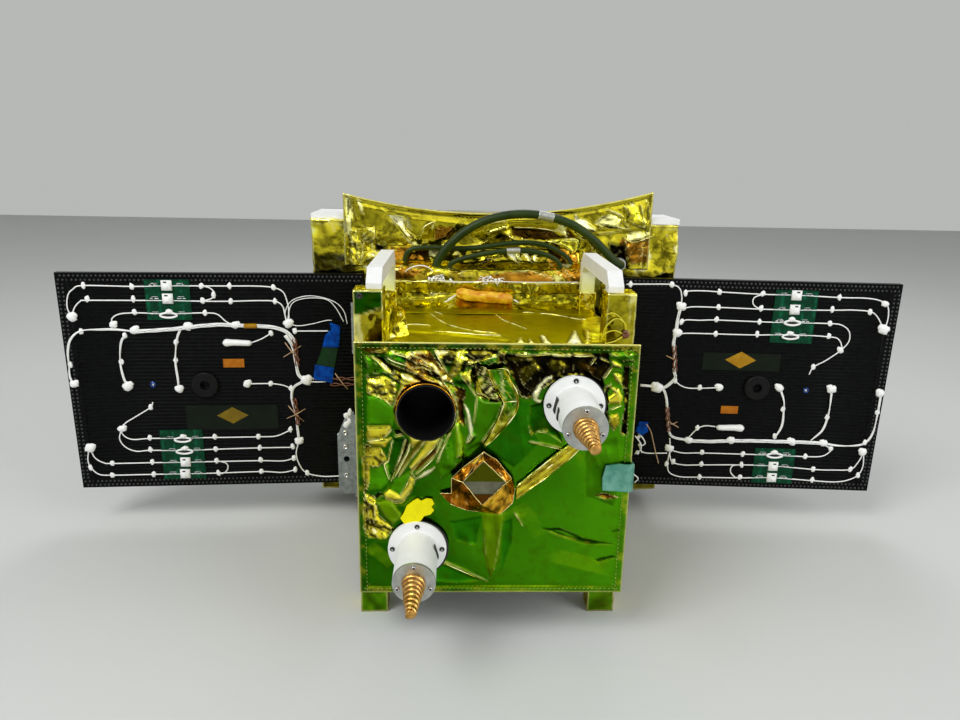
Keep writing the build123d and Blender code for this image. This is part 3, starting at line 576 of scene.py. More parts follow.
def creases_of(points, faces, normals):
    """How sharply a quad mesh bends at each point, above 0 on a ridge and below it in a hollow."""
    quads = np.array(faces)
    total = np.zeros_like(points)
    count = np.zeros(len(points))
    for k in range(4):
        a, b = quads[:, k], quads[:, (k + 1) % 4]
        np.add.at(total, a, points[b])
        np.add.at(total, b, points[a])
        np.add.at(count, a, 1)
        np.add.at(count, b, 1)
    away = points - total / np.maximum(count, 1)[:, None]
    size = np.median(np.linalg.norm(points[quads[:, 1]] - points[quads[:, 0]], axis=1))
    return (away * normals).sum(1) / size


def ramp(value, stops):
    """Colours from a table of (value, colour) stops."""
    places = [stop[0] for stop in stops]
    table = np.array([stop[1] for stop in stops])
    return np.stack([np.interp(value, places, table[:, k]) for k in range(3)], 1)


def blend(first, second, share):
    """Mix two colours or sets of colours by a share for each point."""
    share = np.asarray(share)[:, None]
    return first * (1 - share) + second * share


def painted_crease_light(film, bend, strength=1.0):
    """Painted highlights along the ridges of a film and painted shade in its hollows."""
    film = blend(film, BRIGHT, np.clip((bend - 0.08) * 4 * strength, 0, 0.8))
    return film * (1 - np.clip((-bend - 0.06) * 4 * strength, 0, 0.75))[:, None]


def with_crumpling(film, rough):
    """A film's colours with how crumpled it is, one number or one for each point, as their fourth value."""
    return np.concatenate([film, np.broadcast_to(rough, len(film))[:, None]], 1)


def gold_film(points, normals, seed):
    """Gold film whose facets differ in tone at random, some of them painted highlights, with painted shade
    where they face down.
    """
    tone = facets(points, 34, seed) * 0.6 + facets(points, 13, seed + 3) * 0.4
    colour = ramp(tone, ((-0.8, OLIVE * 0.8), (-0.35, OLIVE * 1.2), (0.0, GOLD * 0.58), (0.25, GOLD * 0.85),
                         (0.4, GOLD * 1.1), (0.55, BRIGHT), (0.8, PALE)))
    return blend(colour, OLIVE, np.clip(-normals[:, 2] * 1.2 - 0.25, 0, 0.7))


def make_skin(name, points, faces, paint, rough, replaces=(), strength=1.0):
    """A closed piece of gold film, coloured by paint from its normals, with painted highlights on its ridges
    and painted shade in its hollows.
    """
    facing = surface_normals(points, faces)
    film = painted_crease_light(paint(facing), creases_of(points, faces, facing), strength)
    make_piece(name, points, faces, "gold_foil", replaces=replaces, film=with_crumpling(film, rough))


def make_film(name, low, high, step, shape, colour=gold_film, seed=1, replaces=(), fine=0.4):
    """A wrapped or hanging film piece: a box's surface pushed out by its crumples."""
    points, normals, faces = box_shell(low, high, step)
    points = points + normals * shape(points, normals)[:, None]
    make_skin(name, points, faces, lambda facing: colour(points, facing, seed), fine, replaces)


def thicken(points, faces, back):
    """Close an open sheet into a thin solid, its copy shifted by back."""
    count = len(points)
    edges = dict.fromkeys((a, b) for face in faces for a, b in zip(face, (*face[1:], face[0])))
    closed = [list(face) for face in faces]
    closed += [[corner + count for corner in face][::-1] for face in faces]
    closed += [[b, a, a + count, b + count] for a, b in edges if (b, a) not in edges]
    return np.concatenate([points, points + np.asarray(back, float)]), closed


def make_sheet(name, points, faces, paint, back, strength=1.0, rough=1.0):
    """An open sheet of gold film, coloured by paint from its normals with painted highlights on its ridges
    and painted shade in its hollows, and closed by a shifted copy.
    """
    facing = surface_normals(points, faces)
    film = with_crumpling(painted_crease_light(paint(facing), creases_of(points, faces, facing), strength), rough)
    make_piece(name, *thicken(points, faces, back), "gold_foil", film=np.concatenate([film, film]))


def depth_inside(x, z, outline):
    """How far each point lies within an outline of (x, z), below 0 outside it."""
    within = np.zeros(len(x), bool)
    near = np.full(len(x), 1e9)
    for (x0, z0), (x1, z1) in zip(outline, outline[1:] + outline[:1]):
        run = (x1 - x0, z1 - z0)
        crosses = (z0 > z) != (z1 > z)
        within ^= crosses & (x < run[0] * (z - z0) / (run[1] or 1e-9) + x0)
        t = np.clip(((x - x0) * run[0] + (z - z0) * run[1]) / (run[0] ** 2 + run[1] ** 2 + 1e-9), 0, 1)
        near = np.minimum(near, np.hypot(x - x0 - t * run[0], z - z0 - t * run[1]))
    return np.where(within, near, -near)


def glint(u, v, lines, half_width):
    """1 along the thin edges of folds, which are raised there and painted as bright highlights."""
    line = np.zeros(len(u))
    for places in lines:
        for start, end in zip(places, places[1:]):
            line = np.maximum(line, ridge(u, v, start, end, half_width, 1.0, 0.5))
    return line


def fold_relief(u, v, folds, lines, rough, tilt=0.0):
    """Height of traced folds and bright edges, and how crumpled the film is; bright folds may tilt."""
    height = glint(u, v, lines, 2.4)
    for shade, lift, crumpled, outline in folds:
        depth = depth_inside(u, v, outline)
        height += lift * np.clip(depth / 3.5 + 0.25, 0, 1)
        if tilt and shade[2] > 0.25:
            middle = np.mean(outline, axis=0)
            lean = tilt * (middle[1] - v + 0.5 * (u - middle[0]))
            height += np.clip(depth / 2, 0, 1) * np.clip(lean, -3, 3)
        rough = np.where(depth > 0, crumpled, rough)
    return height, rough


def fold_paint(points, u, v, colour, lit, folds, lines):
    """Colour of the traced folds, scaled by a painted light factor, with painted highlights along their
    bright edges, laid over the colour given.
    """
    ragged = 0.8 * facets(points, 6, 37)
    # lit is painted light: each fold's colour is made lighter or darker by how the film faces
    lit = (lit * (1 + 0.3 * facets(points, 14, 39)))[:, None]
    for shade, _, _, outline in folds:
        share = np.clip((depth_inside(u, v, outline) + ragged) / 1.2 + 0.5, 0, 1)
        colour = blend(colour, shade * lit, share)
    # A painted highlight along the edges of the folds
    shine = glint(u, v, lines, 1.4) * np.clip(0.5 + 0.9 * facets(points, 9, 45), 0, 1)
    return blend(colour, BRIGHT, np.clip(shine, 0, 0.6))


def make_crease_highlights(name, lines, spot, seed, thick=0.4, lift=0.0):
    """Painted highlights on the sharp edges of folds: hair-thin beads of film along traced lines, coloured
    olive to pale.
    """
    parts, films = [], []
    for number, places in enumerate(lines):
        line = smooth_path([(u, v, 0) for u, v in places], 1.5)
        path = spot(line[:, 0], line[:, 1])
        t = np.linspace(0, 1, len(path))
        tone = facets(path, 9, seed + number) * (1 - lift) + lift
        taper = 0.35 + 0.65 * np.clip(4 * np.minimum(t, 1 - t), 0, 1)
        parts.append(tube(path, thick * taper * np.clip(1 + 0.9 * tone, 0.4, 1.5), 5))
        films.append(ramp(np.repeat(tone, 5),
                          ((-0.5, OLIVE * 0.6), (-0.1, GOLD * 0.8), (0.3, BRIGHT), (0.7, PALE))))
    make_piece(name, *join(parts), "gold_foil", film=np.concatenate(films))


def painted_facet_light(tilt, rough, colour):
    """Painted light and shade on crumpled film's facets by how they tilt, with painted gold and pale
    highlights on the steepest.
    """
    gain = np.interp(tilt, (-0.55, -0.15, 0.05, 0.35, 0.8), (0.05, 0.35, 0.9, 1.3, 1.6))
    colour = colour * (1 + (gain - 1) * np.clip(rough * 1.6, 0, 1))[:, None]
    crumpled = np.clip(rough * 1.8, 0, 1)
    colour = blend(colour, GOLD, np.clip((tilt - 0.32) * 5, 0, 1) * crumpled * 0.8)
    return blend(colour, PALE, np.clip((tilt - 0.62) * 6, 0, 0.9) * crumpled)


# Front blanket: crumples, folds, pinched borders and the pieces stuck on it
APERTURE = (-75.0, 290.0)
APERTURE_R = 31.0
SEAM_IN = 8.5
FRONT_STEP = (1.45, 3.0, 1.45)
FRONT_FILM_DEPTH = 3.0

# Soft ridges as (start, end, half width, height)
FRONT_RIDGES = (
    ((-54, 257), (-49, 222), 8, 2.0),
    ((-46, 290), (-42, 216), 7, 2.4),
    ((-38, 262), (-36, 232), 6, 1.6),
    ((-12, 170), (-5, 84), 12, 2.6),
    ((11, 170), (0, 84), 10, 3.0),
    ((-31, 150), (-14, 92), 12, 2.0),
    ((24, 176), (52, 128), 16, 1.8),
    ((96, 262), (118, 222), 12, 1.8),
    ((120, 250), (133, 212), 10, 1.6),
    ((92, 240), (100, 176), 14, 1.4),
    ((30, 262), (36, 190), 16, 1.4),
    ((20, 300), (32, 240), 14, 1.6),
    ((-120, 180), (-60, 175), 14, 1.6),
    ((-142, 125), (-112, 95), 14, 1.6),
    ((60, 110), (140, 90), 18, 1.8),
)

# Traced folds as (colour, height, how crumpled, outline): the greens are a painted reflection of a green
# floor, PALE and BRIGHT painted highlights, INK and the darkest colours painted shade
FRONT_FACES = (
    (DEEP_GREEN * 0.9, 0.4, 0, ((23, 304), (35, 302), (36, 270), (49, 256), (21, 225), (4, 238), (-13, 249),
     (15, 283))),
    (GREEN * 0.68, 0.3, 0, ((97, 257), (132, 261), (139, 226), (134, 180), (103, 191))),
    (BROWN * 0.4, 0.8, 0.3, ((-138, 359), (-115, 360), (-114, 355), (-122, 352), (-133, 353), (-140, 356))),
    (OLIVE, 1.2, 0, ((-131, 355), (-117, 359), (-115, 357), (-122, 353))),
    (GREEN, 1.6, 0, ((-139, 351), (-132, 348), (-122, 342), (-110, 331), (-119, 330), (-138, 327))),
    (INK, -1.6, 0.3, ((-129, 350), (-119, 349), (-108, 333), (-103, 337), (-100, 330), (-103, 320),
     (-107, 322), (-111, 331), (-122, 342))),
    (DEEP_GREEN, 1.8, 0, ((-118, 351), (-108, 355), (-90, 350), (-94, 342), (-108, 346))),
    (GOLD, 0.6, 0.9, ((-136, 326), (-119, 329), (-107, 321), (-106, 312), (-112, 297), (-124, 306),
     (-137, 309))),
    (GREEN, 1.2, 0, ((-137, 306), (-125, 305), (-112, 296), (-109, 296), (-110, 273), (-138, 273))),
    (GOLD, 1.8, 0.1, ((-138, 272), (-112, 273), (-117, 262), (-138, 256))),
    (GOLD, 1.6, 0.1, ((-138, 255), (-112, 259), (-120, 248), (-137, 251))),
    (GOLD * 0.6, 0.8, 0.6, ((-141, 249), (-124, 248), (-117, 234), (-127, 225), (-141, 226))),
    (GREEN * 0.9, 0.4, 0.12, ((-141, 226), (-127, 225), (-117, 234), (-114, 210), (-124, 199),
     (-141, 196))),
    (OLIVE * 1.2, 1.0, 0.5, ((-144, 238), (-136, 230), (-137, 205), (-143, 193))),
    (INK, -1.8, 0, ((-109, 269), (-103, 269), (-98, 263), (-108, 262))),
    (DEEP_GREEN * 0.6, -1.4, 0.1, ((-110, 258), (-97, 258), (-100, 242), (-113, 210), (-116, 222),
     (-116, 232))),
    (INK, -2.0, 0, ((-96, 260), (-93, 254), (-95, 244), (-109, 218), (-113, 210), (-102, 239))),
    (GOLD, 2.2, 0, ((-92, 262), (-80, 258), (-90, 247), (-92, 254))),
    (OLIVE * 0.5, -0.6, 0, ((-80, 257), (-73, 257), (-95, 232), (-106, 215), (-100, 233))),
    (GOLD, 2.4, 0, ((-72, 258), (-60, 259), (-70, 244), (-91, 222), (-93, 225), (-78, 246))),
    (BROWN * 0.5, -1.0, 0, ((-62, 250), (-64, 241), (-84, 222), (-91, 221), (-86, 228))),
    (PALE, 2.0, 0, ((-87, 211), (-80, 217), (-73, 222), (-65, 226), (-69, 220), (-80, 213))),
    (GREEN * 0.8, 0.8, 0.1, ((-58, 259), (-47, 269), (-44, 222), (-60, 210), (-63, 226), (-63, 241))),
    (LEAF_GREEN, 2.0, 0, ((-44, 276), (-40, 277), (-34, 250), (-36, 238), (-42, 238))),
    (GOLD * 0.9, 2.4, 0, ((-92, 214), (-88, 211), (-91, 199), (-100, 187), (-109, 186), (-119, 189),
     (-121, 193), (-115, 199), (-111, 197), (-103, 192), (-95, 203))),
    (GREEN, 0.8, 0, ((-109, 210), (-91, 220), (-93, 214), (-103, 193), (-113, 198))),
    (INK, -1.4, 0.2, ((-130, 187), (-121, 193), (-128, 195), (-131, 192))),
    (GOLD * 0.8, 0.8, 1.0, ((-141, 193), (-132, 190), (-127, 167), (-112, 152), (-120, 138), (-140, 141),
     (-144, 154), (-144, 185))),
    (LEAF_GREEN * 0.8, 1.4, 0, ((-131, 184), (-113, 186), (-100, 167), (-112, 155), (-122, 166))),
    (AMBER, 1.2, 0.3, ((-104, 306), (-95, 319), (-85, 330), (-69, 327), (-58, 322), (-49, 312), (-42, 296),
     (-43, 290), (-47, 303), (-58, 314), (-73, 320), (-88, 318), (-99, 310))),
    (GOLD * 1.2, 1.8, 0.3, ((-99, 330), (-84, 330), (-90, 323), (-101, 311), (-104, 308))),
    (BROWN, 0.6, 0.9, ((-94, 354), (-71, 357), (-53, 332), (-46, 321), (-63, 327), (-80, 330), (-94, 332),
     (-97, 342))),
    (INK, -1.6, 0.4, ((-63, 360), (-42, 360), (-43, 345), (-58, 346), (-64, 354))),
    (GOLD * 1.1, 2.0, 0.3, ((-43, 355), (-34, 360), (-36, 346), (-41, 333), (-48, 326), (-52, 330),
     (-46, 341))),
    (INK, -1.8, 0.5, ((-34, 360), (1, 361), (0, 353), (-21, 344), (-29, 345), (-36, 333), (-39, 335),
     (-33, 353))),
    (GOLD, 2.2, 0, ((-37, 331), (-28, 337), (-27, 318), (-31, 323))),
    (INK, -2.2, 0.3, ((-27, 339), (-20, 344), (-11, 334), (-2, 313), (6, 301), (-13, 301), (-22, 309),
     (-26, 324))),
    (OLIVE * 1.3, 1.4, 0.2, ((-22, 324), (-15, 320), (-14, 311), (-7, 304), (-21, 311))),
    (DEEP_GREEN, 2.0, 0, ((-20, 344), (0, 353), (-1, 344), (-9, 338), (-16, 338))),
    (OLIVE, 2.2, 0.2, ((1, 357), (9, 356), (9, 342), (0, 342))),
    (PALE, 2.6, 0, ((-34, 298), (-29, 290), (-25, 267), (-21, 263), (-27, 255), (-32, 254), (-28, 264),
     (-31, 282))),
    (BROWN * 0.2, -1.6, 0.5, ((-46, 319), (-32, 315), (-35, 301), (-33, 273), (-41, 278), (-41, 296))),
    (GREEN * 0.62, 0.8, 0, ((-22, 306), (6, 299), (5, 295), (-15, 256), (-36, 241), (-23, 274))),
    (INK, -1.4, 0.45, ((11, 355), (118, 356), (118, 349), (121, 340), (113, 328), (115, 309), (89, 331),
     (68, 328), (58, 322), (41, 311), (36, 304), (25, 307), (14, 333), (9, 338), (2, 342), (2, 355))),
    (OLIVE * 0.14, 0.8, 0.2, ((22, 335), (40, 345), (46, 338), (28, 320))),
    (OLIVE * 0.12, 0.8, 0.2, ((52, 343), (64, 347), (76, 340), (60, 335))),
    (BROWN * 0.25, 0.8, 0.2, ((88, 345), (104, 339), (101, 330), (92, 335))),
    (OLIVE * 0.16, 0.8, 0.2, ((10, 350), (36, 349), (40, 346), (14, 344))),
    (DEEP_GREEN, 1.6, 0, ((34, 356), (57, 355), (77, 353), (56, 351), (24, 352), (19, 354))),
    (BRIGHT, 2.0, 0, ((57, 354), (77, 353), (76, 351), (58, 351))),
    (OLIVE * 0.6, 1.4, 0, ((79, 355), (98, 355), (101, 352), (85, 350))),
    (GREEN * 0.8, 1.2, 0.1, ((117, 355), (143, 359), (145, 347), (132, 345))),
    (GOLD, 2.0, 0.1, ((120, 348), (131, 343), (131, 340), (121, 341))),
    (GOLD * 1.1, 2.2, 0.1, ((123, 334), (131, 332), (133, 321), (125, 326))),
    (GOLD * 1.2, 2.6, 0.1, ((121, 318), (130, 316), (135, 307), (133, 300), (119, 299), (117, 305),
     (126, 312))),
    (OLIVE * 1.3, 1.6, 0.4, ((121, 286), (131, 288), (134, 277), (128, 268), (123, 275))),
    (INK, -1.4, 0.5, ((115, 321), (121, 318), (117, 305), (119, 299), (122, 286), (121, 269), (115, 275),
     (115, 298))),
    (INK, -0.6, 0.6, ((133, 343), (140, 343), (144, 263), (136, 265), (138, 298), (133, 321))),
    (PALE, 2.2, 0, ((58, 331), (52, 328), (43, 318), (39, 309), (40, 302), (47, 299), (49, 302), (43, 304),
     (45, 312), (49, 321), (58, 328))),
    (DEEP_GREEN * 0.5, -1.2, 0.25, ((36, 297), (50, 301), (54, 286), (71, 263), (73, 255), (55, 267),
     (45, 268), (38, 262), (35, 274))),
    (LEAF_GREEN * 0.62, 1.0, 0, ((-11, 171), (10, 171), (8, 120), (-2, 85), (-11, 126))),
    (DEEP_GREEN, -0.8, 0, ((-49, 160), (-13, 167), (-19, 132), (-40, 136))),
    (DEEP_GREEN, -0.8, 0, ((11, 160), (21, 165), (22, 137), (10, 95))),
    (DEEP_GREEN, -0.8, 0, ((-64, 110), (-11, 85), (-40, 83), (-64, 85))),
    (DEEP_GREEN * 0.3, -1.2, 0.1, ((56, 151), (75, 151), (104, 138), (139, 132), (104, 132), (74, 142))),
    (GREEN, 0.6, 0.1, ((68, 148), (80, 147), (100, 138), (84, 141))),
    (DEEP_GREEN * 0.3, -1.0, 0.1, ((117, 112), (136, 118), (144, 116), (121, 110))),
    (DEEP_GREEN * 0.4, -0.8, 0.1, ((133, 149), (142, 151), (143, 149), (136, 147))),
    (BROWN, -1.4, 0.4, ((112, 192), (122, 195), (140, 191), (125, 188))),
)

# Edges of folds, raised as thin ridges and painted as bright highlights
FRONT_GLINTS = (
    ((-137, 352), (-126, 346), (-118, 337), (-108, 331)),
    ((-112, 357), (-107, 354), (-90, 350)),
    ((-115, 349), (-105, 345), (-94, 341)),
    ((-126, 306), (-118, 303), (-112, 297)),
    ((-138, 256), (-120, 259), (-112, 269)),
    ((-111, 256), (-116, 232), (-120, 230), (-115, 211)),
    ((-109, 261), (-99, 263)),
    ((-96, 259), (-102, 239), (-113, 209)),
    ((-92, 253), (-95, 242), (-109, 214)),
    ((-57, 260), (-64, 241), (-86, 217)),
    ((-75, 257), (-92, 234), (-105, 214)),
    ((-61, 256), (-80, 234), (-91, 219), (-87, 213)),
    ((-49, 267), (-58, 246), (-63, 231)),
    ((-87, 211), (-91, 198), (-100, 186), (-109, 185), (-120, 190)),
    ((-92, 214), (-103, 192)),
    ((-90, 353), (-80, 348), (-63, 337)),
    ((-88, 345), (-73, 341), (-58, 330)),
    ((-92, 338), (-80, 339), (-69, 336)),
    ((-66, 358), (-60, 347), (-52, 332)),
    ((-58, 326), (-49, 312), (-42, 296)),
    ((-63, 325), (-52, 312), (-44, 294)),
    ((-40, 332), (-31, 321), (-22, 307)),
    ((-34, 342), (-25, 345), (-1, 352)),
    ((-20, 342), (-11, 334), (-4, 315), (6, 301)),
    ((-21, 311), (-14, 309), (-7, 304)),
    ((6, 298), (1, 280), (-15, 255)),
    ((-21, 306), (-24, 274)),
    ((18, 353), (30, 352), (56, 355)),
    ((79, 353), (101, 353)),
    ((108, 350), (118, 346)),
    ((98, 343), (104, 352)),
    ((113, 328), (121, 341)),
    ((116, 318), (122, 322)),
    ((122, 293), (134, 299)),
    ((55, 267), (45, 268)),
    ((24, 171), (33, 156)),
    ((37, 256), (73, 248)),
    ((-66, 115), (-5, 85)),
)


def edge_distance(x, z):
    """How far a point of the front lies from the blanket's nearest edge."""
    across = np.minimum(x - FRONT_LOW[0], FRONT_HIGH[0] - x)
    return np.minimum(across, np.minimum(z - FRONT_LOW[2], FRONT_HIGH[2] - z))


def hole_distance(x, z):
    """How far a point of the front lies outside the sensor's opening."""
    return np.hypot(x - APERTURE[0], z - APERTURE[1]) - APERTURE_R


def front_height(points, normals):
    """How far the front's film stands out and how crumpled it is there."""
    x, z = points[:, 0], points[:, 2]
    flat = np.stack([x, np.full_like(x, FRONT_FILM_DEPTH), z], 1)
    height = crumple(flat, ((110, 2.4), (46, 0.9)), 21)
    for start, end, half_width, tall in FRONT_RIDGES:
        height += ridge(x, z, start, end, half_width, tall)
    folds, rough = fold_relief(x, z, FRONT_FACES, FRONT_GLINTS, np.full(len(x), 0.03))
    height += folds
    rough = np.maximum(rough, np.clip((z - 318) / 20, 0, 1) * 0.45)
    height += rough * crumple(flat, ((22, 2.6), (10, 2.4), (5, 1.4)), 5)
    swept = np.stack([(x * 0.86 - z * 0.5) * 0.22, np.zeros_like(x), x * 0.5 + z * 0.86], 1)
    strokes = patch(x, z, -66, 336, 44, 18, 0.4)
    height += strokes * crumple(swept, ((9, 2.2), (4, 1.6)), 15)
    rough = np.maximum(rough, strokes * 0.8)
    edge = edge_distance(x, z)
    height *= np.clip(edge / SEAM_IN, 0, 1) * np.clip(hole_distance(x, z) / 2.5, 0.15, 1)
    height -= 0.9 * np.exp(-((edge - SEAM_IN) / 1.8) ** 2)
    return np.where(normals[:, 1] < -0.5, np.maximum(height, -3.2), 0.0), rough


def front_colour(points, normals, rough):
    """Film with a painted reflection of a green floor where it is smooth, painted light and shade by how it
    faces, traced folds painted gold, brown and black, amber round the opening, and painted highlights along
    the fold edges and the blanket's edge.
    """
    x, z = points[:, 0], points[:, 2]
    up, side = normals[:, 2], normals[:, 0]
    drift = 0.34 * facets(points, 75, 33) + 0.14 * facets(points, 30, 35)
    # Painted reflection of a green floor, lighter to the right and lower down, lighter still where the film
    # faces up
    level = np.clip(0.44 + x / 240 + (205 - z) / 900 + drift, 0, 1)
    colour = blend(DEEP_GREEN * 0.65, GREEN * 1.08, level)
    colour = blend(colour, LEAF_GREEN, np.clip((up - 0.04) / 0.25, 0, 0.75))
    # Painted light: lighter where the film faces up or to the right
    lit = np.clip(1 + 2.2 * up + 0.8 * side, 0.3, 1.5)
    colour = fold_paint(points, x, z, colour, lit, FRONT_FACES, FRONT_GLINTS)
    colour = painted_facet_light(up + 0.5 * side + 0.35 * facets(points, 8, 41), rough, colour)
    # Amber film round the opening, with painted shade where it faces down and painted highlights where it
    # faces up
    amber = ramp(up + 0.5 * facets(points, 7, 43), ((-0.4, BROWN * 0.4), (0.0, AMBER), (0.4, BRIGHT)))
    above = np.clip((z - APERTURE[1] + 2) / 12, 0.25, 1)
    colour = blend(colour, amber, np.clip(1.3 - hole_distance(x, z) / 4, 0, 1) * above * 0.9)
    edge = edge_distance(x, z)
    border = ramp(facets(points, 10, 47) + 0.5 * facets(points, 4, 48),
                  ((-0.5, DARK), (-0.1, DEEP_GREEN), (0.2, OLIVE * 0.5), (0.6, GOLD * 0.7)))
    # The border is darker towards the top
    high = np.clip((z - 350) / 6, 0, 1)
    border = border * (1 - 0.45 * high)[:, None]
    colour = blend(colour, border, np.clip((SEAM_IN - 1 - edge) / 1.5, 0, 0.32 + 0.5 * high))
    # Painted highlight along the blanket's very edge
    colour = blend(colour, BRIGHT, 0.45 * np.exp(-(edge / 1.2) ** 2))
    return np.where((normals[:, 1] > 0.3)[:, None], gold_film(points, normals, 3), colour)


def cut_hole(points, faces):
    """Take the sensor's opening out of the blanket and pull its rim onto the circle."""
    from_centre = points[:, (0, 2)] - np.array(APERTURE)
    reach = np.hypot(from_centre[:, 0], from_centre[:, 1])
    in_hole = reach < APERTURE_R - 0.9
    kept = [face for face in faces if not in_hole[list(face)].any()]
    used = np.zeros(len(points), bool)
    for face in kept:
        used[list(face)] = True
    rim = used & (reach < APERTURE_R + 1.3)
    points = points.copy()
    on_circle = from_centre[rim] * (APERTURE_R / reach[rim])[:, None]
    points[np.ix_(rim, (0, 2))] = np.array(APERTURE) + on_circle
    renumber = np.cumsum(used) - 1
    return points[used], [[renumber[corner] for corner in face] for face in kept]


def make_front():
    """The front blanket itself, cut for the sensor."""
    low = FRONT_LOW + (0, FRONT_FILM_DEPTH, 0)
    points, normals, faces = box_shell(low, FRONT_HIGH, FRONT_STEP)
    kept, faces = cut_hole(np.concatenate([points, normals], 1), faces)
    points, normals = kept[:, :3], kept[:, 3:]
    height, rough = front_height(points, normals)
    points = points + normals * height[:, None]
    make_skin("front_film", points, faces, lambda facing: front_colour(points, facing, rough), rough,
              ("front_blanket",), 0.6)


# Stuck-on strips and tapes of the front
def ruled(left, right, lift, arch, rows=60, across=9):
    """A raised strip of film between two edges of (x, z), arched across."""
    edges = []
    for edge in (left, right):
        line = smooth_path([(x, 0.0, z) for x, z in edge], 1.0)
        reach = run_lengths(line)
        edges.append(points_at(line, reach, np.linspace(0, reach[-1], rows)))
    spans = np.linspace(-1, 1, across)
    share = (spans[None, :, None] + 1) / 2
    points = edges[0][:, None, :] * (1 - share) + edges[1][:, None, :] * share
    points[:, :, 1] = FRONT_Y - lift - arch * (1 - spans[None, :] ** 2)
    along = np.repeat(np.linspace(0, 1, rows), across)
    return points.reshape(-1, 3), flipped(grid_faces(rows, across)), np.tile(spans, rows), along


def make_strip(name, left, right, lift, arch, seed, colour, crumples):
    """A strip of film stuck on the front."""
    points, faces, across, along = ruled(left, right, lift, arch)
    points[:, 1] -= crumple(points, crumples, seed) * (1 - 0.5 * np.abs(across))
    make_sheet(name, points, faces, lambda facing: colour(points, across, along, seed), (0, lift + 0.5, 0))


def hook_colour(points, across, along, seed):
    """Painted reflection of a green floor at the top of the hook, gold with painted highlights along its
    edges and towards its tail.
    """
    rough = facets(points, 6, seed)
    gold = ramp(rough, ((-0.6, OLIVE * 0.5), (-0.1, OLIVE), (0.3, GOLD), (0.8, BRIGHT)))
    inner = ramp(rough, ((-0.6, DEEP_GREEN * 0.7), (0.5, GREEN)))
    edge = np.clip(np.abs(across) * 2.2 - 1.1, 0, 1)
    return blend(inner, gold, np.maximum(edge, np.clip((along - 0.45) * 4, 0, 0.8)))


def fold_colour(points, across, along, seed):
    """Dark folded film: painted shade, with gold and bright painted highlights."""
    return ramp(facets(points, 8, seed) + 0.4 * facets(points, 4, seed + 1),
                ((-0.6, DARK * 0.5), (0.0, DARK * 2), (0.25, DEEP_GREEN), (0.5, GOLD), (0.9, BRIGHT)))


def strip_colour(points, across, along, seed):
    """Gold tape with painted shade in long creases and painted highlights along its edges."""
    rough = facets(points, 5, seed) * 0.6 + np.sin(across * 7 + 2 * along) * 0.35
    gold = ramp(rough, ((-0.6, (0.20, 0.13, 0.006)), (-0.1, (0.46, 0.38, 0.02)), (0.5, GOLD)))
    return blend(gold, BRIGHT, np.clip(np.abs(across) * 5 - 4.0, 0, 0.9))


def plate(outline, front, thickness):
    """A flat torn or cut piece of tape from an outline of (x, z)."""
    centre = np.mean(outline, axis=0)
    inner = [tuple(np.asarray(p) * 0.93 + centre * 0.07) for p in outline]
    count = len(outline)
    points = [(x, front + thickness, z) for x, z in outline] + [(x, front + 0.1, z) for x, z in outline]
    points += [(x, front, z) for x, z in inner] + [(centre[0], front - 0.05, centre[1])]
    fan = [(2 * count + k, 2 * count + (k + 1) % count, 3 * count) for k in range(count)]
    return np.array(points), ring_faces(3, count)[:-1] + fan


def dashes(path, length, gap, radius, outward=(0, -1, 0)):
    """Stitches: short raised dashes along a straight or bent line."""
    line = smooth_path(path, 1.0)
    reach = run_lengths(line)
    parts = []
    for start in np.arange(1.0, reach[-1] - length, length + gap):
        first, last = points_at(line, reach, (start, start + length))
        middle = (first + last) / 2 + np.asarray(outward, float) * radius * 0.7
        parts.append(tube([first, middle, last], np.array((radius * 0.6, radius, radius * 0.6)), 5, outward))
    return join(parts)


def on_front(x, z, lift=0.35):
    """Places on the front's film."""
    points = np.stack([x, np.full_like(x, FRONT_Y), z], 1)
    height, _ = front_height(points, np.tile((0.0, -1.0, 0.0), (len(points), 1)))
    points[:, 1] -= height + lift
    return points


def above_front(x, z):
    """Places just above the strips stuck on the front."""
    return np.stack([x, np.full_like(x, FRONT_Y - 3.6), z], 1)


# Edges of the hooked strip, of the fold inside it and of the gold strip, as (x, z)
HOOK_LEFT = ((-11, 338), (-8, 330), (-1, 316), (7, 303), (6, 295), (2, 284), (-5, 268), (-13, 254))
HOOK_RIGHT = ((9, 339), (14, 327), (21, 314), (23, 303), (20, 290), (8, 273), (-3, 260))
INNER_LEFT = ((-25, 344), (-22, 332), (-19, 320), (-10, 308))
INNER_RIGHT = ((-11, 340), (-8, 330), (-2, 317), (6, 303))
STRIP_LEFT = ((79, 254), (64, 242), (43, 223))
STRIP_RIGHT = ((92, 251), (79, 237), (58, 218))
TAPE_GLINTS = (
    HOOK_LEFT,
    ((-11, 338), *HOOK_RIGHT, (-12, 252)),
    ((-2, 317), (8, 330)),
    ((8, 303), (22, 304)),
    ((4, 335), (8, 318), (16, 306)),
    (*STRIP_LEFT, (25, 206)),
    (*STRIP_RIGHT, (39, 203), (24, 190)),
    ((84, 250), (60, 230), (32, 203)),
)
TORN_TAPE = (
    (-99, 160), (-103, 166), (-99, 173), (-96, 181), (-89, 187), (-84, 190), (-80, 187), (-74, 190),
    (-68, 189), (-66, 184), (-69, 180), (-66, 176), (-70, 171), (-77, 169), (-80, 164), (-88, 158),
)
TEAL_LEFT = ((119, 201), (118, 215), (121, 230), (134, 232), (146, 231))


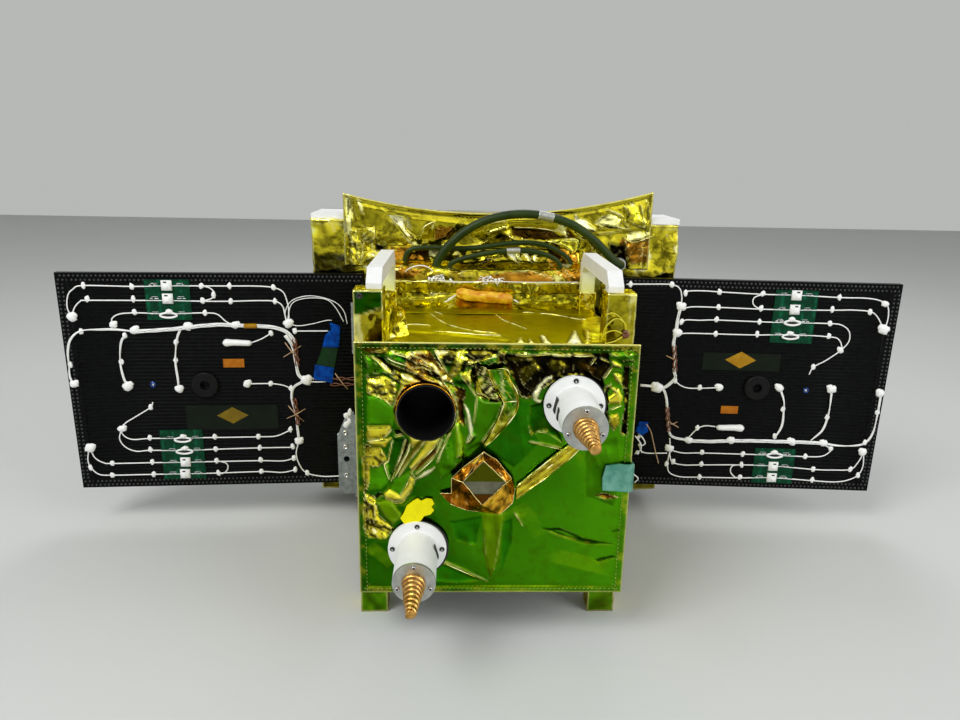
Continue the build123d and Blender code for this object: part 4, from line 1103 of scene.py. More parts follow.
def make_front_details():
    """Everything fastened on the front blanket."""
    make_crease_highlights("front_crease_highlights", FRONT_GLINTS, on_front, 141)
    ring = np.linspace(0, 2 * math.pi, 73)
    path = on_front(APERTURE[0] + (APERTURE_R + 0.3) * np.cos(ring),
                    APERTURE[1] + (APERTURE_R + 0.3) * np.sin(ring), 1.2)
    # Painted light on the rim: amber on its upper half, a dim pale highlight on its lower half
    shade = np.where((path[:, 2] > APERTURE[1])[:, None], AMBER * 1.2, PALE * 0.45)
    make_piece("aperture_rim", *tube(path, 0.75, 6), "gold_foil", film=np.repeat(shade, 6, axis=0))
    make_crease_highlights("tape_crease_highlights", TAPE_GLINTS, above_front, 171, 0.55)
    make_strip("hook_strip", HOOK_LEFT, (*HOOK_RIGHT, (-10, 252)), 2.6, 1.6, 61, hook_colour,
               ((11, 2.0), (5, 1.0)))
    make_strip("inner_fold", INNER_LEFT, INNER_RIGHT, 1.6, 1.2, 65, fold_colour, ((9, 2.2), (4, 1.0)))
    make_strip("gold_strip", (*STRIP_LEFT, (24, 206)), (*STRIP_RIGHT, (24, 189)), 3.0, 0.8, 63, strip_colour,
               ((13, 0.9), (5, 0.5)))
    make_piece("torn_tape", *plate(TORN_TAPE, FRONT_Y - 2.4, 2.0), "yellow_sticker", smooth=False)
    right = FRONT_HIGH[0]
    teal = (*TEAL_LEFT, (right + 2.0, 232), (right + 2.0, 200), (148, 199), (133, 200))
    on_side = place(block(24, 31, 0.8), (right + 1.4, FRONT_Y + 9, 216), (1, 0, 0))
    make_piece("teal_tape", *join((plate(teal, FRONT_Y - 2.6, 2.4), on_side)), "teal_tape", smooth=False)
    x0, x1, z0, z1 = FRONT_LOW[0], FRONT_HIGH[0], FRONT_LOW[2], FRONT_HIGH[2]
    y = FRONT_Y - 0.4
    seams = [((x, y, z0 + 4), (x, y, z1 - 4)) for x in (x0 + SEAM_IN, x1 - SEAM_IN)]
    seams += [((x0 + 4, y, z), (x1 - 4, y, z)) for z in (z1 - 5, z0 + 7)]
    make_piece("front_stitches", *join([dashes(path, 2.2, 2.6, 0.4) for path in seams]), "thread")


# Sun sensor: amber film folded round a small window; corners as (x, z, how far out)
HOOD_CORNERS = {
    "apex": (-13, 249, 10), "left": (-47, 217, 6), "right": (18, 217, 7), "mid_left": (-35, 216, 15),
    "mid_right": (12, 216, 15), "deep": (-14, 191, 18), "low_left": (-48, 185, 4), "low_right": (20, 187, 5),
    "base_left": (-31, 178, 4), "base_right": (6, 173, 4), "fin": (-60, 196, 1), "peak": (-13, 240, 13),
    "high_left": (-34, 230, 6), "high_right": (1, 238, 5), "foot": (-12, 175, 3), "edge_right": (22, 204, 4),
    "side_left": (-47, 198, 5),
}
# Amber of the hood, with lit and shaded copies: each flap's brightness is painted light and shade
HOOD_AMBER = np.array((0.42, 0.15, 0.008))
HOOD_BRIGHT = np.array((0.90, 0.48, 0.04))
HOOD_DARK = np.array((0.09, 0.028, 0.002))
HOOD_FLAPS = (
    (("apex", "high_left", "peak"), HOOD_BRIGHT),
    (("high_left", "left", "mid_left"), HOOD_AMBER * 0.8),
    (("high_left", "mid_left", "peak"), HOOD_AMBER),
    (("apex", "peak", "high_right"), HOOD_AMBER * 0.6),
    (("high_right", "peak", "mid_right"), HOOD_DARK * 2),
    (("high_right", "mid_right", "right"), HOOD_AMBER),
    (("left", "side_left", "mid_left"), HOOD_DARK),
    (("side_left", "fin", "low_left"), HOOD_DARK * 2),
    (("side_left", "low_left", "mid_left"), HOOD_AMBER * 0.7),
    (("mid_left", "low_left", "base_left"), HOOD_AMBER * 0.8),
    (("mid_left", "base_left", "deep"), HOOD_DARK * 3),
    (("base_left", "foot", "deep"), HOOD_AMBER),
    (("foot", "base_right", "deep"), HOOD_AMBER * 1.4),
    (("deep", "base_right", "mid_right"), HOOD_BRIGHT * 0.8),
    (("base_right", "low_right", "mid_right"), HOOD_BRIGHT * 0.9),
    (("low_right", "edge_right", "mid_right"), HOOD_AMBER * 1.3),
    (("edge_right", "right", "mid_right"), HOOD_AMBER * 0.8),
)
HOOD_EDGES = (
    ("apex", "high_left"), ("high_left", "left"), ("apex", "high_right"), ("high_right", "right"),
    ("peak", "mid_left"), ("peak", "mid_right"), ("mid_left", "deep"), ("deep", "mid_right"),
    ("left", "mid_left"), ("right", "mid_right"), ("fin", "side_left"), ("left", "side_left"),
    ("low_left", "base_left"), ("base_left", "foot"), ("foot", "base_right"), ("base_right", "low_right"),
    ("apex", "mid_left"), ("edge_right", "low_right"),
)


def hood_place(name, lift=0.0):
    """A corner of the sensor's hood in space."""
    x, z, out = HOOD_CORNERS[name]
    return np.array((x, FRONT_Y - out - lift, z), float)


def triangle(names, rows):
    """A flat triangle between three corners of the hood, split into rows."""
    a, b, c = (hood_place(name) for name in names)
    index, points, faces = {}, [], []
    for i in range(rows + 1):
        for j in range(rows + 1 - i):
            index[(i, j)] = len(points)
            points.append(a + (b - a) * i / rows + (c - a) * j / rows)
    for i in range(rows):
        for j in range(rows - i):
            faces.append((index[(i, j)], index[(i + 1, j)], index[(i, j + 1)]))
            if i + j < rows - 1:
                faces.append((index[(i + 1, j)], index[(i + 1, j + 1)], index[(i, j + 1)]))
    return np.array(points), faces


def make_sun_sensor():
    """Folded film flaps with painted light and shade round a two-tone window, in place of the plain housing,
    with a painted shadow over the window's lower part and painted highlights along the flaps' edges.
    """
    flaps = [triangle(names, 8) for names, _ in HOOD_FLAPS]
    points, faces = join(flaps)
    film = np.concatenate([np.tile(shade, (len(flap[0]), 1)) for flap, (_, shade) in zip(flaps, HOOD_FLAPS)])
    tone = 0.6 * facets(points, 9, 79) + 0.6 * facets(points, 4, 80)
    film = film * np.clip(0.85 + 1.9 * tone, 0.1, 2)[:, None]
    # Painted highlights on the brightest parts of the flaps
    film = blend(film, np.array((0.95, 0.72, 0.20)), np.clip((tone - 0.45) * 3, 0, 0.9))
    points[:, 1] -= crumple(points, ((12, 1.6), (5, 1.2)), 77)
    make_piece("sensor_hood", *thicken(points, faces, (0, 0.8, 0)), "amber_foil",
               replaces=("sun_sensor_housing",), smooth=False, film=np.concatenate([film, film]))

    # A dark triangle over the lower part of the window: a painted shadow
    deep = hood_place("deep", 0.2)
    under = [hood_place(name, 0.2) * 0.45 + deep * 0.55 for name in ("mid_left", "mid_right")]
    make_piece("sensor_painted_shadow", *thicken(np.array([*under, deep]), [(0, 2, 1)], (0, 1.0, 0)), "amber_foil",
               smooth=False, film=(0.10, 0.035, 0.004))
    for name, names, finish, replaced, colour in (
        ("sensor_hollow", ("peak", "mid_left", "mid_right"), "amber_foil", (), (0.075, 0.085, 0.003)),
        ("sensor_pane", ("mid_left", "deep", "mid_right"), "sensor_window", ("sun_sensor_window",), None),
    ):
        pane, faces = triangle(names, 2)
        pane[:, 1] += 1.4
        make_piece(name, *thicken(pane, faces, (0, 2.0, 0)), finish, replaces=replaced, smooth=False,
                   film=colour)

    # Thin beads along the flaps' edges: painted highlights, every third one dimmer
    lines, tones = [], []
    share = np.linspace(0, 1, 12)
    for number, (first, last) in enumerate(HOOD_EDGES):
        a, b = hood_place(first, 0.4), hood_place(last, 0.4)
        path = a + (b - a) * share[:, None]
        path[:, 1] -= crumple(path, ((14, 1.3), (6, 0.8)), 77) * np.sin(math.pi * share)
        lines.append(tube(path, 0.55, 6))
        shade = np.array((0.98, 0.80, 0.32)) * (0.4 if number % 3 == 1 else 0.9)
        tones.append(np.tile(shade, (len(lines[-1][0]), 1)))
    make_piece("sensor_edge_highlights", *join(lines), "amber_foil", film=np.concatenate(tones))


# Antennas as (name, x, z), their cone's radii and the circles that their fastenings lie on
ANTENNAS = (("upper", 82.5, 300.0), ("lower", -84.5, 130.0))
HELIX_TURNS = 8.5
HELIX_BASE_R = 13.0
HELIX_TIP_R = 5.2
FLANGE_HOLES_R = 27.5
CAP_SCREWS_R = 18.0
CAN_R = 22.3
# Slots of each can as (turn in degrees, distance from the flange, length, width)
CAN_SLOTS = {"upper": ((168, 12, 16, 11), (174, 33, 12, 8)), "lower": ((16, 16, 15, 8),)}


def helix_cone(x, z, front, back):
    """A wound, stepped cone along an antenna's axis."""
    ring, turns = 40, 150
    angle = full_turn(ring)
    rows = []
    for s in np.linspace(0, 1, turns):
        phase = (s * HELIX_TURNS + angle / (2 * math.pi)) % 1
        step = 1.5 * phase ** 0.7 - 1.2 * (phase > 0.93)
        radius = HELIX_BASE_R + (HELIX_TIP_R - HELIX_BASE_R) * s ** 0.9 - 1.4 + step
        radius = radius + 0.25 * np.sin(3 * angle + 9 * s)
        if s > 0.985:
            radius = radius * (1 - s) / 0.015 * 0.6 + 1.5
        y = np.full(ring, back + (front - back) * s)
        rows.append(np.stack([x + radius * np.cos(angle), y, z + radius * np.sin(angle)], 1))
    return np.concatenate(rows), flipped(ring_faces(turns, ring))


def facing_front(profile, sides, at):
    """A turned shape that stands on something and faces the front."""
    return place(revolve(profile, sides), at, (0, -1, 0))


def make_antennas():
    """Wound cones, screws, holes and slots on the two antennas, and a painted shadow ring under each flange.
    """
    dark, screws = [], []
    for name, x, z in ANTENNAS:
        low, high = box_mm(f"{name}_antenna_helix")
        make_piece(f"{name}_cone", *helix_cone(x, z, low[1], high[1]), "copper_gold",
                   replaces=(f"{name}_antenna_helix",))
        flange = box_mm(f"{name}_antenna_flange")[0][1]
        cap = box_mm(f"{name}_antenna_cap")[0][1]

        def around(radius, degrees, y):
            a = math.radians(degrees)
            return x + radius * math.cos(a), y, z + radius * math.sin(a)

        for turn in (90, 180, 0, 270):
            at = around(FLANGE_HOLES_R, turn, flange - 0.15)
            dark.append(facing_front(((2.8, 0), (2.8, 0.5)), 14, at))
            screws.append(facing_front(((1.0, 0), (1.0, 0.8), (0.6, 1.0)), 10, (at[0], at[1], at[2] - 1)))
        for turn in (90, 200, 340):
            head = ((2.6, 0), (2.6, 1.5), (2.0, 2.0), (1.0, 2.0), (0.9, 1.2))
            screws.append(facing_front(head, 12, around(CAP_SCREWS_R, turn, cap)))
            dark.append(facing_front(((1.0, 0), (1.0, 0.25)), 8, around(CAP_SCREWS_R, turn, cap - 2.0)))
        for turn, middle, long, wide in CAN_SLOTS[name]:
            a = math.radians(turn)
            dark.append(place(block(long, wide, 0.9, 0.2), around(CAN_R, turn, flange - middle),
                              (math.cos(a), 0, math.sin(a)), math.pi / 2))
        shift = 1.4 if name == "lower" else 1.2
        # A dark disc behind the flange, off-centre so that a crescent shows: a painted shadow
        dark.append(facing_front(((33.6, 0), (33.6, 2.6)), 48, (x + shift, flange + 5.2, z - 1.0)))
    make_piece("antenna_screws", *join(screws), "steel")
    make_piece("antenna_slots_and_shadow_ring", *join(dark), "dark_hole")


# Film over the boxes
SIDE_CRUMPLE = (2.6, 46)


def plain_crumple(depth, seed, size=24, fine=0.5):
    """A height function for wrapped film: creases of one size with finer ones on them."""
    octaves = ((size, 0.6), (size * 0.4, 0.3 * fine * 2), (size * 0.17, 0.14 * fine))
    return lambda points, normals: depth * crumple(points, octaves, seed)


def wrap(name, node, step, depth, seed, size=24, grow=0.6, colour=gold_film, low=None, fine=0.5):
    """Film wrapped round a CAD box, standing in for it; low is another lowest corner."""
    box_low, high = box_mm(node)
    low = box_low if low is None else low
    make_film(name, low - grow, high + grow, step, plain_crumple(depth, seed, size, fine), colour, seed,
              (node,), fine)


def bay_colour(points, normals, seed):
    """Gold film with painted light and shade by how its facets tilt, a painted bright band near the top, and
    painted deep shade low on the left and along the bottom.
    """
    tilt = 0.6 * normals[:, 2] + 0.5 * normals[:, 0] + 0.75 * facets(points, 12, 61) + 0.22
    film = np.minimum(gold_film(points, normals, seed) * 1.25, 1)
    film = painted_facet_light(tilt, np.full(len(points), 0.5), film)
    x, z = points[:, 0], points[:, 2]
    # A painted bright band near the top
    band = np.clip(1 - np.abs(z - 455 + 3 * facets(points, 14, 63)) / 2.2, 0, 1)
    film = blend(film, BRIGHT, band * np.clip(0.3 + facets(points, 20, 65), 0, 0.8))
    # Painted deep shade low on the left and along the bottom
    shade = np.clip((414 - z + 7 * facets(points, 16, seed + 5)) / 4, 0, 1) * np.clip((-186 - x) / 6, 0, 1)
    shade = np.maximum(shade, np.clip((394 - z + 6 * facets(points, 18, seed + 5)) / 8, 0, 1) * 0.9)
    return blend(film, DARK, shade * (0.9 + 0.1 * facets(points, 7, seed)))


# Saddle screen: its ends, the places (x, z) that its concave top edge runs through, and its traced folds
SCREEN_X = (-206, 238)
SCREEN_TOP = ((-206, 499), (-20, 474), (238, 508))
SCREEN_SHELL_TOP = 500.0
SCREEN_BEND = np.linalg.solve(
    np.array([[x * x, x, 1] for x, _ in SCREEN_TOP], float),
    np.array([z for _, z in SCREEN_TOP], float),
)
# Traced folds of the screen as (colour, height, how crumpled, outline): PALE and BRIGHT ones are painted
# highlights, INK and the darkest brown ones painted shade
SCREEN_FACES = (
    (OLIVE * 1.6, 0.8, 0.1, ((-193, 492), (-151, 484), (-144, 473), (-151, 448), (-183, 455))),
    (GOLD * 0.8, 0.8, 1.0, ((-199, 448), (-162, 452), (-159, 423), (-174, 396), (-194, 394))),
    (INK, -2, 0.3, ((-162, 429), (-146, 425), (-152, 416), (-162, 416))),
    (OLIVE * 1.5, 1.0, 0.1, ((-112, 467), (-41, 463), (-44, 450), (-69, 453), (-83, 439), (-108, 435))),
    (BROWN * 1.4, 1.0, 0.3, ((-74, 453), (-46, 454), (-55, 439), (-76, 432))),
    (OLIVE * 1.5, 1.4, 0.1, ((-37, 460), (38, 469), (121, 471), (125, 453), (42, 457), (-19, 440))),
    (GOLD * 0.7, 0.6, 1.0, ((-19, 440), (31, 459), (35, 437), (-11, 426))),
    (BROWN * 0.3, -2, 0.5, ((35, 455), (122, 451), (133, 439), (83, 436), (35, 439))),
    (GOLD * 1.1, 1.5, 1.0, ((86, 438), (133, 441), (140, 410), (113, 406), (94, 420))),
    (OLIVE * 1.5, 1.2, 0.1, ((156, 485), (236, 502), (239, 458), (198, 451), (162, 454))),
    (BROWN * 1.2, 0.5, 0.8, ((195, 440), (241, 444), (244, 408), (213, 404), (193, 422))),
    (INK, -1.5, 0.6, ((178, 432), (200, 429), (213, 393), (187, 407))),
    (BROWN * 1.3, 0.8, 0.5, ((-125, 411), (-76, 414), (-69, 400), (-120, 397))),
    (PALE, 2.6, 0.1, ((-141, 469), (-122, 468), (-119, 450), (-107, 435), (-115, 439), (-129, 456))),
    (PALE, 2.6, 0.1, ((126, 477), (132, 468), (141, 467), (158, 453), (143, 450), (127, 463))),
    (BRIGHT, 2.0, 0.3, ((90, 453), (101, 456), (110, 464), (117, 442), (105, 443))),
    (BRIGHT * 0.95, 1.6, 1.0, ((157, 463), (165, 472), (177, 476), (192, 470), (194, 455), (172, 458))),
    (BRIGHT * 0.9, 1.2, 0.3, ((-203, 500), (-197, 497), (-193, 470), (-197, 440), (-203, 440))),
    (BRIGHT, 1.2, 0.2, ((-186, 493), (-181, 490), (-177, 470), (-182, 474))),
    (GOLD * 1.1, 1.6, 0.8, ((196, 488), (214, 493), (222, 470), (236, 466), (230, 455), (204, 462))),
    (BRIGHT, 1.6, 0.6, ((204, 447), (218, 452), (240, 450), (226, 440), (208, 438))),
)
SCREEN_GLINTS = (
    ((-126, 454), (-117, 444), (-108, 434)),
    ((-115, 467), (-116, 449), (-101, 435)),
    ((-98, 435), (-91, 453), (-76, 462)),
    ((-76, 462), (-80, 448)),
    ((-44, 445), (-55, 432), (-67, 427)),
    ((-19, 451), (2, 460), (27, 464)),
    ((-40, 423), (-11, 429), (17, 446)),
    ((39, 455), (75, 454), (118, 447)),
    ((121, 467), (126, 449), (141, 439)),
    ((170, 484), (197, 472), (184, 460)),
    ((184, 460), (209, 454), (197, 468)),
    ((221, 490), (228, 462)),
    ((231, 494), (238, 462)),
    ((162, 448), (194, 452)),
    ((199, 443), (214, 436), (242, 446)),
    ((86, 436), (112, 431), (131, 417)),
    ((-179, 455), (-162, 443), (-166, 420)),
    ((-189, 448), (-186, 398)),
    ((-176, 437), (-183, 396)),
    ((-134, 409), (-112, 415), (-76, 414)),
)


def screen_top(x):
    """Height of the saddle screen's concave top edge."""
    return SCREEN_BEND[0] * x * x + SCREEN_BEND[1] * x + SCREEN_BEND[2]


def screen_height(points, normals):
    """Crumples and folds of the saddle screen, and how crumpled it is."""
    x, z = points[:, 0], points[:, 2]
    low_down = np.clip((screen_top(x) - 34 - z) / 30, 0.18, 0.8)
    folds, rough = fold_relief(x, z, SCREEN_FACES, SCREEN_GLINTS, low_down, 0.3)
    height = folds + 1.6 * crumple(points, ((60, 1.0), (26, 0.6)), 90)
    height += rough * crumple(points, ((24, 2.4), (11, 2.0), (5, 1.0)), 91)
    edge = np.minimum(screen_top(x) - z, np.minimum(x - SCREEN_X[0], SCREEN_X[1] - x))
    height = height * np.clip(edge / 8, 0, 1) - 1.2 * np.exp(-((edge - 7) / 2.0) ** 2)
    return np.where(np.abs(normals[:, 1]) > 0.5, height, 0), rough


def screen_colour(points, normals, rough):
    """Gold film with traced folds, painted light and shade by how its facets tilt, painted shade in its
    hollows and painted highlights along its folds.
    """
    up, side = normals[:, 2], normals[:, 0]
    film = blend(gold_film(points, normals, 9), GOLD * 0.62, 0.5 * (rough < 0.3))
    # Painted light: lighter where the film faces up or to the right
    lit = np.clip(1 + up + 0.5 * side, 0.4, 1.4)
    film = fold_paint(points, points[:, 0], points[:, 2], film, lit, SCREEN_FACES, SCREEN_GLINTS)
    return painted_facet_light(up + 0.5 * side + 0.3 * facets(points, 9, 17) + 0.12, rough * 0.8, film)


# Deck: traced folds over (x, y); BRIGHT and PALE ones are painted highlights, the pressed olive one painted
# shade
DECK_FACES = (
    (GOLD * 1.1, 1.4, 0.9, ((-148, 107), (-124, 109), (-105, -104), (-115, -155), (-123, -155))),
    (BRIGHT, 2.6, 0.1, ((27, -164), (32, -132), (35, -163))),
    (BRIGHT, 2.6, 0.1, ((40, -166), (44, -138), (46, -166))),
    (PALE, 2.8, 0.1, ((57, -124), (62, -128), (65, -166), (57, -164))),
    (PALE, 3.0, 0.1, ((86, -160), (104, -94), (103, -134), (102, -166))),
    (GOLD, 2.0, 0.1, ((106, -163), (117, -99), (121, -104), (112, -162))),
    (GOLD, 1.4, 0.9, ((122, -34), (153, -9), (128, -155), (108, -156))),
    (OLIVE * 0.8, -1.0, 0.2, ((-125, -105), (-76, -115), (21, -148), (20, -166), (-119, -172))),
)
DECK_GLINTS = (
    ((-78, -8), (-66, -48), (-50, -79), (-25, -104), (6, -118)),
    ((7, 15), (12, -18), (21, -49), (44, -92)),
    ((-116, -86), (-96, -77), (-76, -81)),
    ((-106, -5), (-84, 8), (-62, -9)),
    ((47, 4), (91, -7), (127, -43)),
    ((-70, -112), (-20, -126), (10, -128)),
)


def deck_height(points, normals):
    """Long curved folds of the deck's film, rougher towards the shelf."""
    x, y = points[:, 0], points[:, 1]
    folds, rough = fold_relief(x, y, DECK_FACES, DECK_GLINTS, np.clip((y + 30) / 60, 0.06, 0.5))
    height = folds + 0.8 * crumple(points, ((70, 1.0), (30, 0.4)), 94)
    height = height + rough * crumple(points, ((24, 2.0), (10, 1.4)), 95)
    return np.where(normals[:, 2] > 0.5, height, 0.3 * height)


def deck_colour(points, normals, seed):
    """Even olive gold, lighter or darker by a painted light factor, with painted highlights at the front
    folds.
    """
    x, y = points[:, 0], points[:, 1]
    even = CALM_OLIVE * (1 + 0.15 * facets(points, 60, 19))[:, None]
    film = blend(even, gold_film(points, normals, seed), np.clip((y + 20) / 50, 0.1, 0.7))
    # Painted light: lighter where the film faces up or forward
    lit = np.clip(0.2 + normals[:, 2] - 0.8 * normals[:, 1], 0.4, 1.4)
    return fold_paint(points, x, y, film, lit, DECK_FACES, DECK_GLINTS)


# Traced folds on the front of each post, above the bus's foot: BRIGHT is a painted highlight and DARK painted
# shade
POST_FACES = {
    "left": (
        (OLIVE * 1.15, 0.0, 0, ((-150, 380), (-125, 390), (-125, 363), (-137, 353), (-147, 345))),
        (DARK * 1.5, -1.0, 0, ((-146, 346), (-137, 353), (-125, 363), (-125, 346))),
        (BROWN * 0.7, 0.0, 0, ((-148, 347), (-139, 355), (-125, 365), (-125, 361), (-137, 352))),
        (BRIGHT * 0.9, 0.0, 0, ((-158, 378), (-152, 379), (-149, 348), (-155, 347))),
        (DEEP_GREEN * 0.45, 0.8, 0, ((-160, 409), (-124, 409), (-124, 390), (-150, 380), (-160, 381))),
    ),
    "right": (
        (OLIVE * 1.15, 0.0, 0, ((126, 409), (150, 409), (152, 374), (146, 370), (126, 374))),
        (OLIVE * 0.9, 0.0, 0, ((126, 374), (146, 370), (148, 346), (126, 346))),
    ),
}
POST_GLINTS = {
    "left": (((-152, 381), (-151, 362), (-149, 350)), ((-158, 381), (-150, 379), (-125, 389))),
    "right": (((150, 406), (151, 390), (152, 374)), ((153, 366), (151, 356))),
}
POST_START = 1.0
BUS_FOOT = 76


def base_colour(points, normals, seed):
    """Bright yellow film tape round a handle's foot, some facets painted highlights."""
    return ramp(facets(points, 9, seed),
                ((-0.6, OLIVE * 1.2), (-0.2, GOLD * 0.8), (0.2, (0.95, 0.80, 0.01)), (0.6, BRIGHT)))


def leg_colour(points, normals, seed):
    """Film low on a post, with a painted reflection of a green floor on its front."""
    film = gold_film(points, normals, seed)
    # Painted reflection of a green floor on the low front of the post
    low = np.clip((75 - points[:, 2]) / 6, 0, 1) * np.clip(-normals[:, 1] * 1.5, 0, 1)
    green = ramp(facets(points, 9, seed), ((-0.6, DEEP_GREEN * 0.6), (0.2, GREEN), (0.7, LEAF_GREEN)))
    return blend(film, green, low * 0.9)


def post_colour(name):
    """Colouring of a post: traced folds on its front above the bus's foot, a painted reflection of a green
    floor below.
    """
    def colour(points, normals, seed):
        film = gold_film(points, normals, seed)
        traced = fold_paint(points, points[:, 0], points[:, 2], film, np.ones(len(points)), POST_FACES[name],
                            POST_GLINTS[name])
        upper = blend(film, traced, np.clip(-normals[:, 1] * 2, 0, 1))
        return np.where((points[:, 2] > BUS_FOOT)[:, None], upper, leg_colour(points, normals, seed))
    return colour


def make_wraps():
    """Every plain box that is covered with film."""
    for side, name in SIDES:
        post = f"{name}_front_post"
        low = box_mm(post)[0]
        low[2] = POST_START
        wrap(f"{name}_post_film", post, (2.2, 2.2, 2.6), 1.3, 31 + side, 16, 0.4, post_colour(name), low)
        wrap(f"{name}_leg_film", f"{name}_rear_leg", 3.0, 1.4, 35 + side, 14, colour=leg_colour)
        depth, size = SIDE_CRUMPLE
        wrap(f"{name}_side_film", f"{name}_side_blanket", (3.0, 4.0, 4.0), depth, 41 + side, size, 0.0)
        wrap(f"{name}_handle_wrap", f"{name}_handle_base", 1.6, 0.9, 45 + side, 12, 0.2, base_colour)
    wrap("shelf_film", "harness_shelf", 2.0, 5.0, 51, 34, 0.3)
    low, high = box_mm("deck_blanket")
    make_film("deck_film", low, high, (2.6, 2.6, 2.0), deck_height, deck_colour, 7, ("deck_blanket",), 0.0)
    wrap("bay_film", "rear_bay_blanket", 3.2, 3.6, 57, 34, 0.0, bay_colour, fine=0.6)


def on_screen(x, z):
    """Places on the saddle screen's film."""
    places = np.stack([x, np.full_like(x, box_mm("saddle_screen")[0][1]), z], 1)
    height, _ = screen_height(places, np.tile((0.0, -1.0, 0.0), (len(x), 1)))
    places[:, 1] -= height + 0.4
    return places


def on_deck(x, y):
    """Places on the deck's film."""
    places = np.stack([x, y, np.full_like(x, box_mm("deck_blanket")[1][2])], 1)
    places[:, 2] += deck_height(places, np.tile((0.0, 0.0, 1.0), (len(x), 1))) + 0.1
    return places


def make_screen():
    """The saddle screen's film, its stitched border, and the painted crease highlights of the screen and the
    deck.
    """
    low, high = box_mm("saddle_screen")
    points, normals, faces = box_shell(low, (high[0], high[1], SCREEN_SHELL_TOP), (2.4, 2.5, 2.2))
    share = (points[:, 2] - low[2]) / (SCREEN_SHELL_TOP - low[2])
    points[:, 2] = low[2] + share * (screen_top(points[:, 0]) - low[2])
    height, rough = screen_height(points, normals)
    points = points + normals * height[:, None]
    make_skin("screen_film", points, faces, lambda facing: screen_colour(points, facing, rough), rough,
              ("saddle_screen",), 0.7)
    y, x0, x1 = low[1] - 0.6, low[0] + 6, high[0] - 6
    seams = [[(x, y, screen_top(x) - 6.5) for x in np.linspace(x0, x1, 24)]]
    seams += [((x, y, low[2] + 40), (x, y, screen_top(x) - 8)) for x in (x0, x1)]
    make_piece("screen_stitches", *join([dashes(path, 2.4, 3.0, 0.5) for path in seams]), "thread")
    make_crease_highlights("screen_crease_highlights", SCREEN_GLINTS, on_screen, 181, 0.6)
    make_crease_highlights("deck_crease_highlights", DECK_GLINTS, on_deck, 191, 0.7, 0.45)


# Slack film behind the shelf: traced folds over (x, z); PALE and BRIGHT ones are painted highlights
LOOSE_FACES = (
    (GOLD * 0.6, 0.8, 0.12, ((-38, 391), (-15, 408), (26, 417), (84, 419), (112, 406), (100, 396),
     (40, 396), (0, 390))),
    (BROWN * 1.5, 0.5, 0.3, ((-10, 389), (24, 395), (84, 398), (97, 386), (92, 381), (-20, 381))),
    (AMBER * 0.75, 0.6, 0.5, ((-140, 381), (-138, 422), (-84, 425), (-84, 402), (-104, 386))),
    (GOLD * 1.0, 1.2, 0.9, ((-82, 384), (-80, 403), (-58, 404), (-46, 384))),
    # A painted shadow of a cable over the film
    (INK, -1.6, 0.3, ((-50, 401), (-22, 410), (12, 411), (-5, 403), (-40, 395))),
    (AMBER * 1.1, 2.0, 1.0, ((88, 402), (92, 426), (132, 426), (138, 384), (114, 384))),
    (PALE, 1.8, 0.1, ((30, 418), (37, 419), (48, 402))),
    (BRIGHT, 1.8, 0.1, ((40, 419), (45, 419), (52, 404))),
    (PALE, 1.8, 0.1, ((52, 419), (59, 418), (66, 404))),
    (BRIGHT, 1.8, 0.1, ((68, 417), (74, 415), (70, 404))),
)
LOOSE_GLINTS = (
    ((104, 408), (114, 393), (136, 381)),
    ((-40, 391), (-16, 405), (20, 412)),
    ((24, 394), (60, 398), (98, 386)),
    ((-132, 384), (-120, 400), (-92, 404)),
)


def make_flap(name, corners, outward, depth, seed):
    """A crumpled sheet of film hung between four corners."""
    a, b, c, d = (np.array(corner, float) for corner in corners)
    across = int(np.linalg.norm(b - a) / 1.6) + 2
    count = int(np.linalg.norm(d - a) / 1.6) + 2
    u, v = np.meshgrid(np.linspace(0, 1, across), np.linspace(0, 1, count))
    u, v = u.reshape(-1, 1), v.reshape(-1, 1)
    points = (a * (1 - u) + b * u) * (1 - v) + (d * (1 - u) + c * u) * v
    faces = grid_faces(count, across)
    outward = np.array(outward, float) / np.linalg.norm(outward)
    if np.dot(np.cross(b - a, d - a), outward) < 0:
        faces = [face[::-1] for face in faces]
    points = points + outward * depth * crumple(points, ((20, 1.0), (9, 0.6), (4, 0.25)), seed)[:, None]

    def paint(facing):
        # Painted light and shade by how the facets tilt
        tilt = 0.5 * facing[:, 2] + 0.9 * facets(points, 9, seed + 1)
        return painted_facet_light(tilt, np.full(len(points), 0.6), gold_film(points, facing, seed))

    make_sheet(name, points, faces, paint, -outward * 0.9, 0.8)


def swept_sheet(profile, step, columns):
    """A sheet with one (y, z) profile in all its columns: points, faces and each point's share of the way."""
    line = smooth_path([(0, y, z) for y, z in profile], step)
    grid = np.repeat(line[:, None, :], len(columns), 1)
    grid[:, :, 0] = columns
    share = np.repeat(np.linspace(0, 1, len(line)), len(columns))
    return grid.reshape(-1, 3), grid_faces(len(line), len(columns)), share


